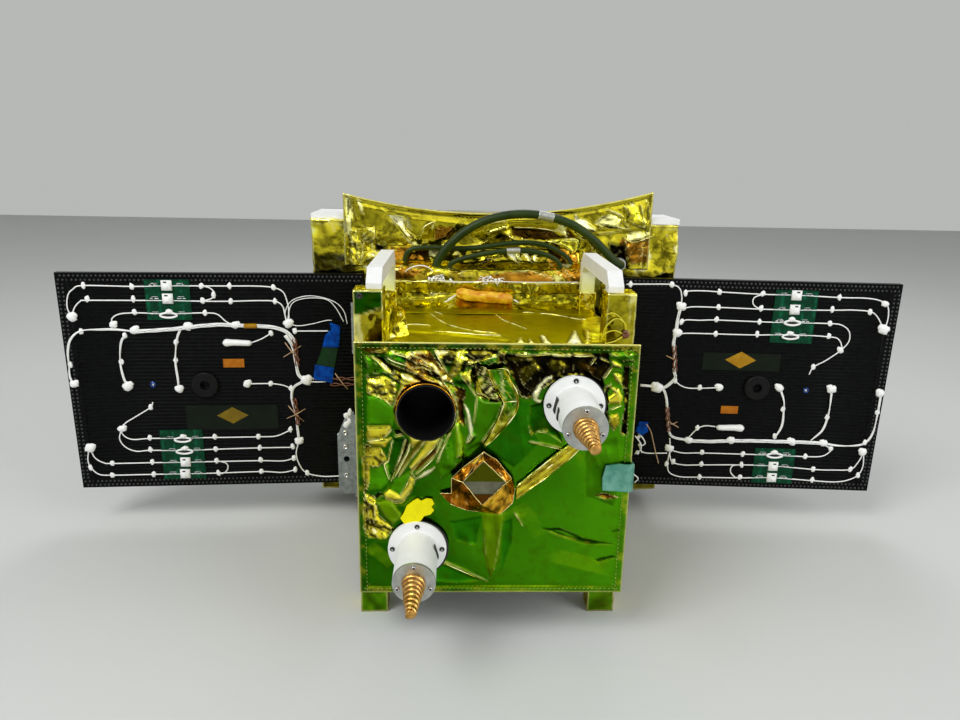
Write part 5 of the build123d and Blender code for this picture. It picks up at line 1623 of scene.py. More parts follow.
def make_loose_film():
    """Slack film heaped behind the shelf where the cables come up, with its folds."""
    profile = ((45, 381), (48, 391), (54, 398), (63, 401), (75, 405), (83, 415), (87.4, 427))
    points, faces, share = swept_sheet(profile, 2.0, np.arange(-143, 144, 2.0))
    x, z = points[:, 0], points[:, 2].copy()
    folds, rough = fold_relief(x, z, LOOSE_FACES, LOOSE_GLINTS, np.full(len(x), 0.35), 0.3)
    calm = np.clip(rough * 3, 0.25, 1)
    height = folds + calm * crumple(points, ((44, 5.0), (20, 1.8)), 97)
    height = height + rough * crumple(points, ((12, 2.2), (6, 0.8)), 98)
    height = height * np.clip(np.minimum(share * 5, (1 - share) * 5), 0.1, 1)
    points = points + np.outer(height, (0, -0.55, 0.8))

    def paint(facing):
        # Painted light: lighter where the film faces up
        lit = np.clip(1 + facing[:, 2], 0.4, 1.4)
        film = fold_paint(points, x, z, gold_film(points, facing, 12), lit, LOOSE_FACES, LOOSE_GLINTS)
        film = blend(film, BROWN, np.clip(0.1 + 1.2 * facets(points, 30, 99), 0, 0.5) * calm)
        # Painted light and shade by how the facets tilt
        tilt = facing[:, 2] - 0.35 + 0.5 * facing[:, 0] + 0.3 * facets(points, 9, 18)
        return painted_facet_light(tilt, rough * 0.8, film)

    make_sheet("loose_film", points, faces, paint, (0, 0.9, -0.9), 0.6)


def make_fillet():
    """The deck's film where it rises to the shelf."""
    profile = ((-6, 346.9), (10, 347.6), (24, 350.5), (34, 355), (40, 360), (42.6, 366))
    points, faces, share = swept_sheet(profile, 1.8, np.arange(-138, 139, 2.2))
    rough = np.clip(share * 1.4 - 0.5, 0.0, 0.8)
    height = crumple(points, ((34, 1.8), (15, 0.8)), 211)
    height = height + rough * crumple(points, ((11, 1.8), (5, 0.8)), 213)
    points = points + np.outer((height + 1.2) * np.clip(share * 6, 0, 1), (0, -0.6, 0.8))

    def paint(facing):
        even = CALM_OLIVE * (1 + 0.2 * facets(points, 30, 19))[:, None]
        film = blend(even, gold_film(points, facing, 15), np.clip(share * 1.3 - 0.35, 0, 0.9))
        # Painted light and shade by how the facets tilt
        tilt = facing[:, 2] - 0.5 + 0.5 * facing[:, 0] + 0.4 * facets(points, 9, 18)
        return painted_facet_light(tilt, rough, film)

    make_sheet("deck_fillet", points, faces, paint, (0, 0.7, -0.7), 0.6, rough)


def bay_flap_height(points, normals):
    """Crumples on top of the flap that is folded over the rear bay."""
    return np.where(normals[:, 2] > 0.5, 0.5 * crumple(points, ((30, 1), (12, 0.5)), 96), 0)


def make_flaps():
    """Loose flaps beside the handles and over the rear bay."""
    right = ((157, -143, 347), (157, 30, 347), (158, 30, 392), (158, -143, 380))
    left = ((-121, -152, 347), (-98, -138, 347), (-106, -122, 378), (-120, -147, 386))
    make_flap("right_corner_film", right, (-1, 0, 0), 3.2, 201)
    make_flap("left_corner_film", left, (0.3, -1, 0.3), 3.0, 203)
    make_film("bay_flap", (-196, 94, 469.8), (228, 176, 470.6), (5, 5, 0.8), bay_flap_height)


# Wings: all places on one are (along from the hinge, height above the floor, out from the panel's face)
RIB_PITCH = 5.5
BORDER_W = 15.0
KNOT_PITCH = 6.0

# Wiring of each wing's front as (along, height): single wires and fine wires
WING_WIRES = {
    -1: (
        ((414, 323), (418, 337), (415, 354), (407, 363), (393, 368), (328, 367), (280, 368), (233, 368),
         (194, 368), (156, 368), (133, 366), (120, 360), (115, 347), (113, 331), (116, 314)),
        ((414, 323), (408, 337), (399, 346), (391, 347), (328, 347), (279, 347), (233, 346), (194, 346),
         (154, 347), (132, 346), (122, 340), (119, 328), (117, 314)),
        ((359, 312), (360, 320), (350, 327), (328, 329), (280, 328), (232, 329), (214, 327), (202, 316),
         (190, 311)),
        ((231, 368), (221, 365), (215, 357), (220, 350), (230, 347)),
        ((316, 195), (320, 187), (342, 173), (358, 163), (365, 154), (363, 144), (351, 137), (327, 138),
         (277, 138), (232, 138), (167, 138), (141, 139), (120, 148)),
        ((365, 153), (369, 138), (362, 125), (347, 118), (327, 119), (277, 118), (232, 119), (167, 120),
         (119, 120)),
        ((413, 123), (407, 108), (395, 100), (384, 99), (327, 99), (278, 99), (231, 99), (167, 99),
         (134, 98), (117, 102)),
        ((415, 121), (418, 105), (415, 93), (405, 82), (386, 80), (327, 80), (279, 80), (232, 80),
         (167, 81), (135, 79), (116, 83)),
        ((231, 100), (218, 96), (216, 88), (222, 80), (232, 79)),
        ((179, 222), (145, 222), (126, 219), (116, 214)),
        ((168, 285), (155, 290), (141, 298)),
        ((108, 130), (113, 109), (108, 89), (98, 77), (75, 71), (48, 71)),
        ((106, 302), (84, 302), (58, 302)),
        ((93, 226), (78, 224), (55, 225)),
        ((87, 230), (70, 227), (55, 228)),
    ),
    1: (
        ((118, 365), (122, 369), (145, 370), (168, 369), (231, 367), (279, 367), (342, 365), (379, 365),
         (400, 362), (412, 355), (416, 340), (415, 322)),
        ((120, 344), (133, 346), (169, 346), (231, 345), (279, 345), (334, 346), (365, 347), (390, 345),
         (401, 337), (411, 322)),
        ((231, 367), (219, 362), (218, 353), (225, 347), (231, 346)),
        ((116, 322), (123, 326), (143, 326), (168, 327), (232, 326), (279, 326), (334, 326), (351, 324),
         (363, 315), (365, 300), (356, 286)),
        ((116, 305), (131, 306), (169, 306), (230, 306), (279, 308), (335, 306), (349, 303), (355, 294),
         (355, 286), (336, 270), (319, 259), (314, 247)),
        ((32, 377), (66, 378), (98, 378), (110, 372), (114, 359), (114, 346)),
        ((116, 232), (124, 225), (136, 221), (154, 221), (183, 223)),
        ((184, 160), (169, 161), (157, 156), (144, 140)),
        ((113, 122), (124, 118), (140, 115), (167, 116), (231, 116), (280, 116), (327, 115), (350, 116),
         (361, 122), (364, 129), (353, 135)),
        ((118, 121), (119, 109), (124, 99), (142, 95), (169, 96), (231, 98), (279, 98), (342, 94),
         (374, 94), (399, 96), (408, 107), (414, 122)),
        ((116, 96), (120, 82), (137, 75), (168, 75), (231, 76), (280, 78), (343, 75), (377, 74), (398, 78),
         (412, 87), (417, 102), (415, 122)),
        ((231, 98), (217, 96), (215, 86), (223, 77), (231, 76)),
        ((116, 139), (118, 122), (117, 109), (116, 96)),
        ((74, 116), (82, 113), (114, 114)),
    ),
}
WING_FINE = {
    -1: (
        ((116, 314), (118, 331), (108, 347), (87, 354), (65, 352), (45, 344), (34, 331), (30, 313)),
        ((113, 314), (112, 334), (104, 346), (84, 351), (59, 349), (46, 337), (35, 316)),
        ((114, 313), (100, 310), (80, 313), (60, 318), (52, 318)),
    ),
    1: (),
}
# Laced trunks as (strands, places)
WING_TRUNKS = {
    -1: (
        (2, ((423, 224), (427, 235), (426, 253), (425, 273), (419, 291), (404, 303), (377, 305), (355, 305),
         (331, 302))),
        (5, ((331, 302), (298, 304), (273, 306), (257, 308), (229, 311), (207, 312), (190, 311), (160, 310),
         (137, 308), (121, 303), (111, 294), (106, 284))),
        (4, ((120, 296), (112, 284), (108, 269), (106, 251), (103, 235), (93, 227))),
        (3, ((93, 227), (111, 217), (115, 201), (111, 179), (109, 157), (108, 130))),
        (2, ((344, 297), (351, 285), (355, 257), (353, 234), (349, 221))),
        (2, ((267, 305), (273, 290), (278, 259), (277, 231), (277, 215))),
    ),
    1: (
        (4, ((114, 346), (111, 329), (110, 308), (108, 290), (112, 269), (113, 247), (115, 236), (102, 222),
         (90, 220))),
        (3, ((90, 220), (99, 218), (105, 203), (108, 187), (111, 168), (115, 148), (122, 141), (135, 138),
         (147, 136))),
        (5, ((147, 136), (180, 136), (211, 138), (253, 139), (303, 139), (328, 139), (352, 138))),
        (2, ((352, 138), (374, 135), (401, 136), (415, 142), (423, 158), (425, 189), (425, 220))),
        (2, ((274, 224), (282, 205), (284, 186), (284, 164), (276, 145))),
        (2, ((351, 224), (352, 201), (351, 180), (346, 159), (331, 142))),
        (3, ((64, 224), (76, 223), (90, 221))),
    ),
}
# Adhesive dots as (along, height), and the larger lumps as (along, height, radius)
WING_DOTS = {
    -1: (
        (393, 368), (328, 367), (233, 368), (194, 368), (133, 366), (390, 349), (328, 349), (233, 347),
        (194, 346), (132, 346), (328, 330), (231, 329), (217, 355), (404, 302), (275, 286), (278, 259),
        (354, 257), (345, 296), (425, 253), (320, 187), (326, 139), (327, 120), (384, 99), (326, 100),
        (416, 93), (386, 80), (326, 80), (232, 139), (232, 119), (232, 100), (231, 80), (168, 138),
        (167, 120), (167, 100), (167, 81), (120, 149), (118, 121), (117, 102), (116, 83), (98, 77),
        (145, 222), (116, 214), (140, 299), (106, 302),
    ),
    1: (
        (119, 366), (168, 369), (231, 368), (342, 365), (169, 346), (231, 346), (334, 347), (389, 345),
        (168, 328), (231, 326), (334, 326), (169, 306), (230, 307), (335, 307), (117, 323), (38, 377),
        (98, 378), (319, 259), (116, 232), (154, 222), (283, 191), (351, 180), (425, 190), (157, 157),
        (276, 147), (168, 117), (231, 116), (327, 115), (364, 129), (169, 97), (231, 98), (342, 94),
        (399, 96), (168, 75), (231, 77), (343, 76), (412, 86), (125, 100), (115, 96), (414, 141),
    ),
}
WING_LUMPS = {
    -1: (
        (414, 323, 7), (359, 312, 5.5), (331, 304, 6.5), (257, 309, 6.5), (190, 311, 6), (349, 220, 7.5),
        (277, 215, 6), (423, 224, 6), (179, 222, 6), (413, 124, 7.5), (364, 154, 6), (115, 313, 7),
        (93, 227, 8), (108, 130, 6.5),
    ),
    1: (
        (355, 286, 5), (115, 346, 7), (113, 306, 7), (413, 319, 8), (409, 357, 5), (183, 223, 6),
        (273, 225, 6.5), (351, 225, 7), (424, 221, 6.5), (90, 220, 9), (146, 136, 6), (211, 138, 6),
        (303, 139, 6.5), (352, 138, 6), (413, 125, 6.5), (117, 122, 6.5),
    ),
}
# Diodes as (along, height, framed): a framed one shows a rim and a cap, the others are solid lumps
WING_DIODES = {
    -1: (
        (280, 369, 0), (280, 350, 0), (281, 328, 1), (278, 138, 1), (277, 119, 1), (277, 100, 0),
        (279, 81, 0),
    ),
    1: (
        (279, 367, 0), (279, 346, 0), (278, 328, 1), (278, 307, 1), (279, 118, 1), (279, 98, 0),
        (279, 79, 0),
    ),
}
# Brown laced stretches as (along, height) of both ends, and the ties across them
WING_LACED = {
    -1: ((107, 291, 104, 250), (111, 199, 107, 157)),
    1: ((109, 287, 114, 247), (107, 190, 113, 151)),
}
WING_TIES = {
    -1: ((121, 285, 101, 258), (121, 187, 99, 162)),
    1: ((99, 271, 116, 264), (106, 171, 128, 157)),
}
LIGHT_RING = (313, 222)
# Blank labels as (along, height, their width, their height), diamonds as (along, height) and
# clear films as (along, their width, their height)
LABELS = {-1: (196, 254, 30, 13), 1: (202, 188, 26, 12)}
DIAMONDS = {-1: (203, 173), 1: (210, 267)}
CLEAR_FILMS = {-1: (203.5, 133, 38), 1: (211.5, 115, 27)}
SLEEVES = {-1: ((209, 285), (168, 285)), 1: ((227, 159), (185, 160))}
# Rings of a piece of tape as (share of its outline, share of its thickness)
TAPE_RINGS = ((1.0, 0.0), (1.0, 0.8), (0.93, 1.0), (0.6, 1.0), (0.25, 1.0))


def on_wing(side, along, height, out=0.0):
    """A place on a wing's front."""
    back = AXIS_TO_PANEL - out
    x = side * (HINGE_X + along * math.cos(SWEEP) + back * math.sin(SWEEP))
    y = HINGE_Y - along * math.sin(SWEEP) + back * math.cos(SWEEP)
    return (x, y, height)


def wing_outward(side):
    """Unit direction out of a wing's front face."""
    return (-side * math.sin(SWEEP), -math.cos(SWEEP), 0)


def wing_line(side, places, step, out=0.0):
    """A smooth path over a wing's front through places, out being for those that don't have their own."""
    return smooth_path([on_wing(side, *(*spot, out)[:3]) for spot in places], step)


def wing_tube(side, places, radius, sides=6):
    """A tube over a wing's front, straight from place to place."""
    return tube([on_wing(side, *spot) for spot in places], radius, sides, wing_outward(side))


def on_face(side, shape, along, height, out=0.0):
    """A shape standing on a wing's face."""
    return place(shape, on_wing(side, along, height, out), wing_outward(side))


def blob(width, height, seed, lift=0.7):
    """A rounded lump of set adhesive, as half sizes across and up."""
    rng = np.random.default_rng(seed)
    profile = ((0.96, 0), (1.0, 0.22), (0.92, 0.5), (0.66, 0.82), (0.3, 0.98))
    points, faces = revolve([(r, h * lift * width) for r, h in profile], 12)
    lean = 1 + 0.10 * np.sin(np.arange(12) * (1 + seed % 2) + seed) + 0.05 * rng.standard_normal(12)
    points[:, :2] *= np.tile(lean, len(profile))[:, None]
    points[:, 0] *= width
    points[:, 1] *= height
    return points, faces


def make_panel_face(side, body):
    """Ribs and woven border of a wing's laminate."""
    low, high, length = PANEL_Z0, PANEL_Z1, PANEL_LENGTH
    ribs = []
    for height in np.arange(low + BORDER_W + 3, high - BORDER_W, RIB_PITCH):
        spots = np.linspace(BORDER_W, length + 6 - BORDER_W, 5)
        ribs.append(wing_tube(side, [(along, height, 0.05) for along in spots], 1.15))
    for height in (low + BORDER_W, high - BORDER_W):
        ribs.append(wing_tube(side, ((8, height, 0.1), (length, height, 0.1)), 1.0))
    for along in (BORDER_W, length + 4 - BORDER_W):
        ribs.append(wing_tube(side, ((along, low + 4, 0.1), (along, high - 4, 0.1)), 1.0))
    make_piece(f"{body}_ribs", *join(ribs), "black_laminate", body)
    knot = revolve(((1.7, -0.2), (1.5, 0.5), (0.7, 0.9)), 6)
    knots = []
    for inset, shift in ((4.2, 0), (10.2, KNOT_PITCH / 2)):
        for along in np.arange(10, length + 2, KNOT_PITCH):
            for height in (low + inset, high - inset):
                knots.append(on_face(side, knot, along + shift - 1, height))
        for height in np.arange(low + 16, high - 14, KNOT_PITCH):
            for along in (inset + 3, length + 7 - inset):
                knots.append(on_face(side, knot, along, height))
    make_piece(f"{body}_weave", *join(knots), "weave", body)


def make_wiring(side, body):
    """Wires, trunks of twisted wires and the adhesive that holds them."""
    outward = wing_outward(side)
    wires = [tube(wing_line(side, row, 3, 1.4), 0.95, 6, outward) for row in WING_WIRES[side]]
    wires += [tube(wing_line(side, row, 3, 2.0), 0.65, 6, outward) for row in WING_FINE[side]]
    for strands, row in WING_TRUNKS[side]:
        centre = wing_line(side, row, 3, 1.6 + 0.2 * strands)
        turn = run_lengths(centre) * 0.05
        tangent = np.gradient(centre, axis=0)
        across = np.cross(tangent / np.linalg.norm(tangent, axis=1)[:, None], outward)
        width = 0.10 + 0.38 * strands
        for strand in range(strands):
            phase = turn + strand * 2 * math.pi / strands
            offset = across * (width * np.cos(phase))[:, None]
            offset = offset + np.asarray(outward) * (0.2 * strands * np.sin(phase))[:, None]
            wires.append(tube(centre + offset, 0.9, 6, outward))
    make_piece(f"{body}_wires", *join(wires), "white_wire", body, (f"{body}_harness",))
    lumps = [on_face(side, blob(3.5, 4.9, 200 + number), along, height, 0.1)
             for number, (along, height) in enumerate(WING_DOTS[side])]
    for number, (along, height, radius) in enumerate(WING_LUMPS[side]):
        lumps.append(on_face(side, blob(radius * 1.05, radius * 0.95, 400 + number), along, height, 0.1))
        lumps.append(on_face(side, blob(radius * 0.7, radius * 0.6, 500 + number), along - radius * 0.5,
                             height + radius * 0.45, 0.6))
    make_piece(f"{body}_dots", *join(lumps), "white_wire", body)


def make_lacing(side, body):
    """Brown lacing round the trunks and the tan ties across them."""
    lacing = []
    run = np.linspace(0, 1, 24)
    for a0, h0, a1, h1 in WING_LACED[side]:
        for strand in range(3):
            lacing.append(wing_tube(side, [
                (a0 + (a1 - a0) * t + 2.6 * math.cos(7 * t + 2.1 * strand), h0 + (h1 - h0) * t,
                 3.4 + 0.9 * math.sin(7 * t + 2.1 * strand)) for t in run], 1.15))
    if side < 0:
        for strand in range(4):
            lacing.append(wing_tube(side, [
                (58 - 38 * t, 229 - (strand % 2) * 9 + 2.0 * math.cos(7 * t + 1.6 * strand),
                 2.4 + 1.0 * math.sin(7 * t + 1.6 * strand)) for t in run], 0.9))
    make_piece(f"{body}_laced", *join(lacing), "brown_wire", body)
    ties = []
    for a0, h0, a1, h1 in WING_TIES[side]:
        middle = ((a0 + a1) / 2, (h0 + h1) / 2)
        ties.append(wing_tube(side, ((a0, h0, 1.6), (*middle, 5.4), (a1, h1, 1.6)), 0.8))
        ties.append(wing_tube(side, ((a1 - 3, h0 - 5, 1.6), (*middle, 5.8), (a0 + 3, h1 + 5, 1.6)), 0.7))
    if side < 0:
        ties.append(wing_tube(side, ((50, 238, 3.6), (41, 225, 5.0), (32, 213, 3.6)), 0.8))
        band = wing_tube(side, [(along, 310, 2.4) for along in (177, 168, 159)], 3.6, 10)
        make_piece("left_trunk_band", *band, "label_amber", body)
    make_piece(f"{body}_ties", *join(ties), "tan_tie", body)


# Silver tracks beside a diode as (distance along, height above it, the block's sizes)
BOARD_PADS = (
    (15.5, 0, (6.0, 1.5, 0.6, 0.2)),
    (22.5, 0, (4.0, 1.5, 0.6, 0.2)),
    (18, 2.6, (9, 0.7, 0.25, 0.1)),
)


def make_boards(side, name, body):
    """Diodes under white adhesive and the silver tracks beside them."""
    white, dark, pads = [], [], []
    for number, (along, height, framed) in enumerate(WING_DIODES[side]):
        if framed:
            lip = [(along + 9.5 * math.cos(t) * (1 + 0.25 * math.cos(t) ** 2),
                    height - 2.0 + 3.6 * math.sin(t), BOARD_T + 1.4) for t in np.linspace(0, 2 * math.pi, 21)]
            white.append(wing_tube(side, lip, 1.5, 8))
            white.append(on_face(side, blob(5.6, 3.6, 600 + number), along - 1, height + 3.2, BOARD_T))
            dark.append(on_face(side, block(13, 4.5, 1.3, 0.4), along, height - 2.0, BOARD_T))
        else:
            white.append(on_face(side, block(14.5, 14.5, 4.2, 2.2), along, height, BOARD_T))
            white.append(on_face(side, blob(6.4, 5.6, 620 + number, 0.9), along + 1, height - 1.5, BOARD_T))
            dark.append(on_face(side, block(4.5, 2.0, 0.5, 0.2), along + 1, height + 5.0, BOARD_T + 4.2))
        for end in (-1, 1):
            for shift, rise, pad in BOARD_PADS:
                pads.append(on_face(side, block(*pad), along + end * shift, height + rise, BOARD_T))
    make_piece(f"{body}_diodes", *join(white), "white_wire", body)
    make_piece(f"{name}_diode_windows", *join(dark), "dark_hole", body)
    make_piece(f"{name}_board_pads", *join(pads), "silver_line", body)


def wing_tape(side, outline, out, thick, seed):
    """A piece of tape on a wing from an outline of (along, height), its face a little wrinkled."""
    centre = np.mean(outline, axis=0)
    rim = [np.asarray(first) * (1 - t) + np.asarray(second) * t
           for first, second in zip(outline, outline[1:] + outline[:1]) for t in (0.0, 0.33, 0.67)]
    points = []
    for share, lift in TAPE_RINGS:
        for edge in rim:
            spot = centre + (edge - centre) * share
            wrinkle = 0.5 * facets(np.array([[*spot, 5.0]]), 8, seed)[0]
            points.append(on_wing(side, *spot, out + thick * lift + wrinkle * (lift > 0.9)))
    faces = ring_faces(len(TAPE_RINGS), len(rim))
    if side < 0:
        faces = [face[::-1] for face in faces]
    return np.array(points), faces


def make_wing_labels(side, name, body):
    """Light ring, blank labels, sleeve and tapes on one wing."""
    ring = revolve(((2.6, 0.6), (2.7, 2.2), (3.8, 2.6), (4.8, 1.8), (5.0, 0.0)), 20)
    lens = revolve(((2.7, 0), (2.6, 1.2), (1.2, 1.7)), 14)
    make_piece(f"{name}_light_ring", *on_face(side, ring, *LIGHT_RING), "blue_anodised", body)
    make_piece(f"{name}_light_lens", *on_face(side, lens, *LIGHT_RING), "silver_line", body)
    along, height, width, tall = LABELS[side]
    label = on_face(side, block(width, tall, 0.5, 0.15), along, height, 1.3)
    make_piece(f"{name}_blank_label", *label, "label", body, smooth=False)
    points, faces = place(block(20, 20, 0.5, 0.15), (0, 0, 0), (0, 0, 1), math.pi / 4)
    diamond = on_face(side, (points * (1.62, 0.92, 1), faces), *DIAMONDS[side], 1.4)
    make_piece(f"{name}_blank_diamond", *diamond, "label_olive" if side < 0 else "label_amber", body,
               smooth=False)
    along, width, tall = CLEAR_FILMS[side]
    clear = on_face(side, block(width, tall, 0.35, 0.1), along, DIAMONDS[side][1] - 3, 1.0)
    make_piece(f"{name}_clear_film", *clear, "dark_tape", body, smooth=False)
    (a0, h0), (a1, h1) = SLEEVES[side]
    run = np.linspace(0, 1, 16)
    spine = [(a0 + (a1 - a0) * t, h0 + (h1 - h0) * t + 0.5 * math.sin(5 * t), 3.2) for t in run]
    sizes = np.interp(run, (0, 0.05, 0.14, 0.3, 0.9, 0.97, 1), (1.5, 4.6, 5.8, 4.8, 4.2, 3.6, 1.8))
    make_piece(f"{name}_wire_sleeve", *wing_tube(side, spine, sizes, 12), "white_wire", body)
    if side < 0:
        upper = ((55, 315), (40, 310), (43, 277), (67, 278), (63, 295), (54, 304))
        lower = ((79, 251), (51, 246), (54, 222), (82, 229))
        blue = [wing_tape(side, upper, 1.5, 2.0, 801), wing_tape(side, lower, 1.5, 2.0, 803)]
        make_piece("left_blue_tape", *join(blue), "blue_tape", body)
        between = ((66, 279), (44, 277), (51, 245), (78, 250))
        make_piece("left_clear_tape", *wing_tape(side, between, 1.2, 0.9, 805), "dark_green_tape", body)


def make_hinge_details():
    """Screws on the hinge plates, sealing lumps above them and the tape beside the right hinge."""
    screw = revolve(((4.2, 0), (4.2, 1.6), (3.4, 2.4), (1.9, 2.4), (1.8, 1.2)), 16)
    for side, name in SIDES:
        body = f"{name}_wing"
        screws = [on_face(side, screw, 38, height, 3.0) for height in (73, 120, 143)]
        make_piece(f"{name}_hinge_screws", *join(screws), "steel", body)
        seal = []
        for k in range(5):
            lump = blob(4.5 - k % 3, 6 - k % 2, 900 + k)
            seal.append(on_face(side, lump, 33 + 3 * math.cos(2.3 * k), 156 + 5 * k, 2.6))
        for k, height in enumerate((62, 96, 139)):
            seal.append(on_face(side, blob(3.0, 4.0, 930 + k), 47, height, 0.6))
        make_piece(f"{name}_hinge_seal", *join(seal), "white_wire", body)
    blue = wing_tape(1, ((80, 165), (66, 166), (62, 150), (72, 143), (81, 150)), 2.0, 4.0, 807)
    make_piece("right_blue_tape", *blue, "blue_tape", "right_wing")
    thin = ((77, 163, 6), (85, 151, 5), (91, 132, 4), (96, 115, 4), (102, 97, 3))
    make_piece("right_thin_wire", *tube(wing_line(1, thin, 3), 0.8, 6), "tan_tie", "right_wing")
    loops = (
        ((66, 148, 3), (74, 139, 6), (78, 130, 5), (71, 124, 4), (75, 114, 3)),
        ((62, 142, 3), (70, 132, 7), (72, 120, 5), (64, 112, 3)),
        ((64, 78, 3), (72, 71, 4), (67, 63, 3)),
    )
    bunch = [tube(wing_line(1, loop, 2), 1.1, 6) for loop in loops]
    bunch += [on_face(1, blob(3.0, 3.6, 950 + k), 68 + 3 * (k % 2), 140 - 13 * k, 2.0) for k in range(3)]
    make_piece("right_hinge_wires", *join(bunch), "white_wire", "right_wing")


# Cables as (radius, the route that the CAD model has), and their bands of tape as shares of the length
CABLE_Y = 61.7
BACK_CABLE_Y = 75.7
CABLES = {
    "main_cable": (6.0, (
        (-74, CABLE_Y, 392), (-74, CABLE_Y, 407), (-48, CABLE_Y, 440), (-8, CABLE_Y, 467),
        (50, CABLE_Y, 479), (112, CABLE_Y, 468), (150, 57.7, 443), (174, 55.7, 419), (186, 58.7, 409),
        (194, 65.7, 405), (194, 77.7, 405),
    )),
    "back_cable": (3.7, tuple((x, BACK_CABLE_Y, z) for x, z in (
        (-119, 392), (-119, 408), (-112, 424), (-80, 426), (-24, 424), (30, 434), (78, 435), (110, 420),
        (124, 405), (124, 392),
    ))),
    "low_cable": (3.7, tuple((x, CABLE_Y, z) for x, z in (
        (-56, 392), (-56, 405), (-30, 414), (12, 423), (56, 426), (88, 419), (106, 407), (106, 392),
    ))),
}
CABLE_TAPES = {"main_cable": (0.535, 0.60), "low_cable": (0.50, 0.60)}


def make_cables():
    """Smooth cables through the routes of the CAD model, with bands of tape."""
    bands = []
    for name, (radius, route) in CABLES.items():
        curve = bpy.data.curves.new(name, "CURVE")
        curve.dimensions = "3D"
        curve.bevel_resolution = 6
        curve.resolution_u = 12
        curve.use_fill_caps = True
        spline = curve.splines.new("NURBS")
        spline.points.add(len(route) - 1)
        for point, spot in zip(spline.points, route):
            point.co = (*(value * MM for value in spot), 1)
            point.radius = radius * MM
        spline.order_u = 3
        spline.use_endpoint_u = True
        curve.materials.append(MATERIALS["green_jacket"])
        cable = bpy.data.objects.new(f"{name}_jacket", curve)
        bpy.context.scene.collection.objects.link(cable)
        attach(cable, "bus")
        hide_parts(name)
        if name in CABLE_TAPES:
            middle = bpy.data.meshes.new_from_object(cable)
            line = np.array([vertex.co for vertex in middle.vertices]) / MM
            bpy.data.meshes.remove(middle)
            reach = run_lengths(line)
            path = points_at(line, reach, np.linspace(*CABLE_TAPES[name], 14) * reach[-1])
            bands.append(tube(path, radius + 0.5 + 0.25 * np.cos(np.arange(14) * 2.1), 16))
        curve.bevel_depth = 1.0
    make_piece("cable_tapes", *join(bands), "grey_cap")


def make_shelf_details():
    """Lacing knots, a loop of wire and the taped bundle in front of the shelf."""
    arc = smooth_path(((-119, 52, 388), (-112, 44, 398), (-98, 42, 404), (-84, 44, 402), (-74, 52, 392)), 2)
    low_line = smooth_path(((-72, 40, 384), (-40, 39, 382), (2, 38, 384), (60, 40, 383), (128, 41, 384)), 4)
    wires = [tube(arc, 0.9, 8), tube(low_line, 0.8, 6)]
    lumps = []
    rng = np.random.default_rng(12)
    for x, count in ((-76, 9), (-62, 4), (2, 9), (12, 5)):
        for _ in range(count):
            spot = np.array((x, 41, 385)) + rng.normal(0, 1, 3) * (4.5, 2.2, 1.8)
            lumps.append(place(blob(1.6, 2.0, int(rng.integers(1e6)), 0.9), spot, (0, -1, 0.5)))
            reach = rng.normal(0, 1, 3) * (9, 2, 4)
            thread = smooth_path((spot, spot + reach * 0.6 + (0, -2, 2), spot + reach), 2)
            wires.append(tube(thread, 0.6, 6))
    make_piece("lacing", *join(wires + lumps), "white_wire")

    spine = smooth_path(((-43, 33, 368), (-39, 32, 368), (-20, 31, 365), (6, 31, 363), (29, 31, 361),
                         (35, 32, 360)), 1.2)
    ring = 26
    sizes = np.interp(np.linspace(0, 1, len(spine)), (0, 0.06, 0.5, 0.94, 1), (3, 7.4, 8.2, 7.2, 3))
    points, faces = tube(spine, sizes, ring)
    away = points - np.repeat(spine, ring, axis=0)
    away /= np.maximum(np.linalg.norm(away, axis=1), 1e-6)[:, None]
    points = points + away * (1.6 * crumple(points, ((9, 0.6), (4, 0.4)), 123))[:, None]
    make_piece("orange_wrap", points, faces, "orange_tape", replaces=("taped_bundle",))
    ends = []
    for k in range(3):
        end = ((-60 + 3 * k, 27 + k, 356 + k), (-54, 29, 358 + k), (-41, 32, 367))
        ends.append(tube(smooth_path(end, 2), 0.8, 6))
    for k in range(2):
        end = ((33, 31, 361), (40, 29, 358 + k), (44 - 2 * k, 27 + 2 * k, 356 + k))
        ends.append(tube(smooth_path(end, 2), 0.7, 6))
    make_piece("bundle_ends", *join(ends), "white_wire")


def make_post_details():
    """Grommet of the left post, knot and yellow wire loops of the right one."""
    left = box_mm("left_front_post")[0]
    hollow = ((3.6, 0), (3.8, 1.2), (3.0, 1.8), (1.8, 1.8), (1.7, 0.8))
    make_piece("post_grommet", *facing_front(hollow, 14, (left[0] + 7, left[1] - 1.0, 401)), "dark_hole")
    y = box_mm("right_front_post")[0][1] - 2.2
    loops = (
        ((124, y, 383), (132, y - 2, 386), (143, y - 2, 378), (148, y, 366), (150, y, 360)),
        ((122, y, 360), (126, y - 2, 372), (136, y - 3, 380), (146, y - 2, 374), (149, y, 364)),
        ((120, y, 352), (124, y - 2, 362), (134, y - 2, 366), (145, y, 362)),
        ((126, y, 350), (136, y - 3, 354), (147, y, 360)),
    )
    wires = [tube(smooth_path(path, 2), 0.85, 6) for path in loops]
    make_piece("post_wires", *join(wires), "yellow_tape")
    knot = []
    for k in range(5):
        at = (148 + 2 * math.cos(k * 1.9), y, 361 + 2.5 * math.sin(k * 1.9))
        knot.append(place(blob(2.6, 3.2, 700 + k, 1.0), at, (0, -1, 0)))
    make_piece("post_knot", *join(knot), "brown_wire")


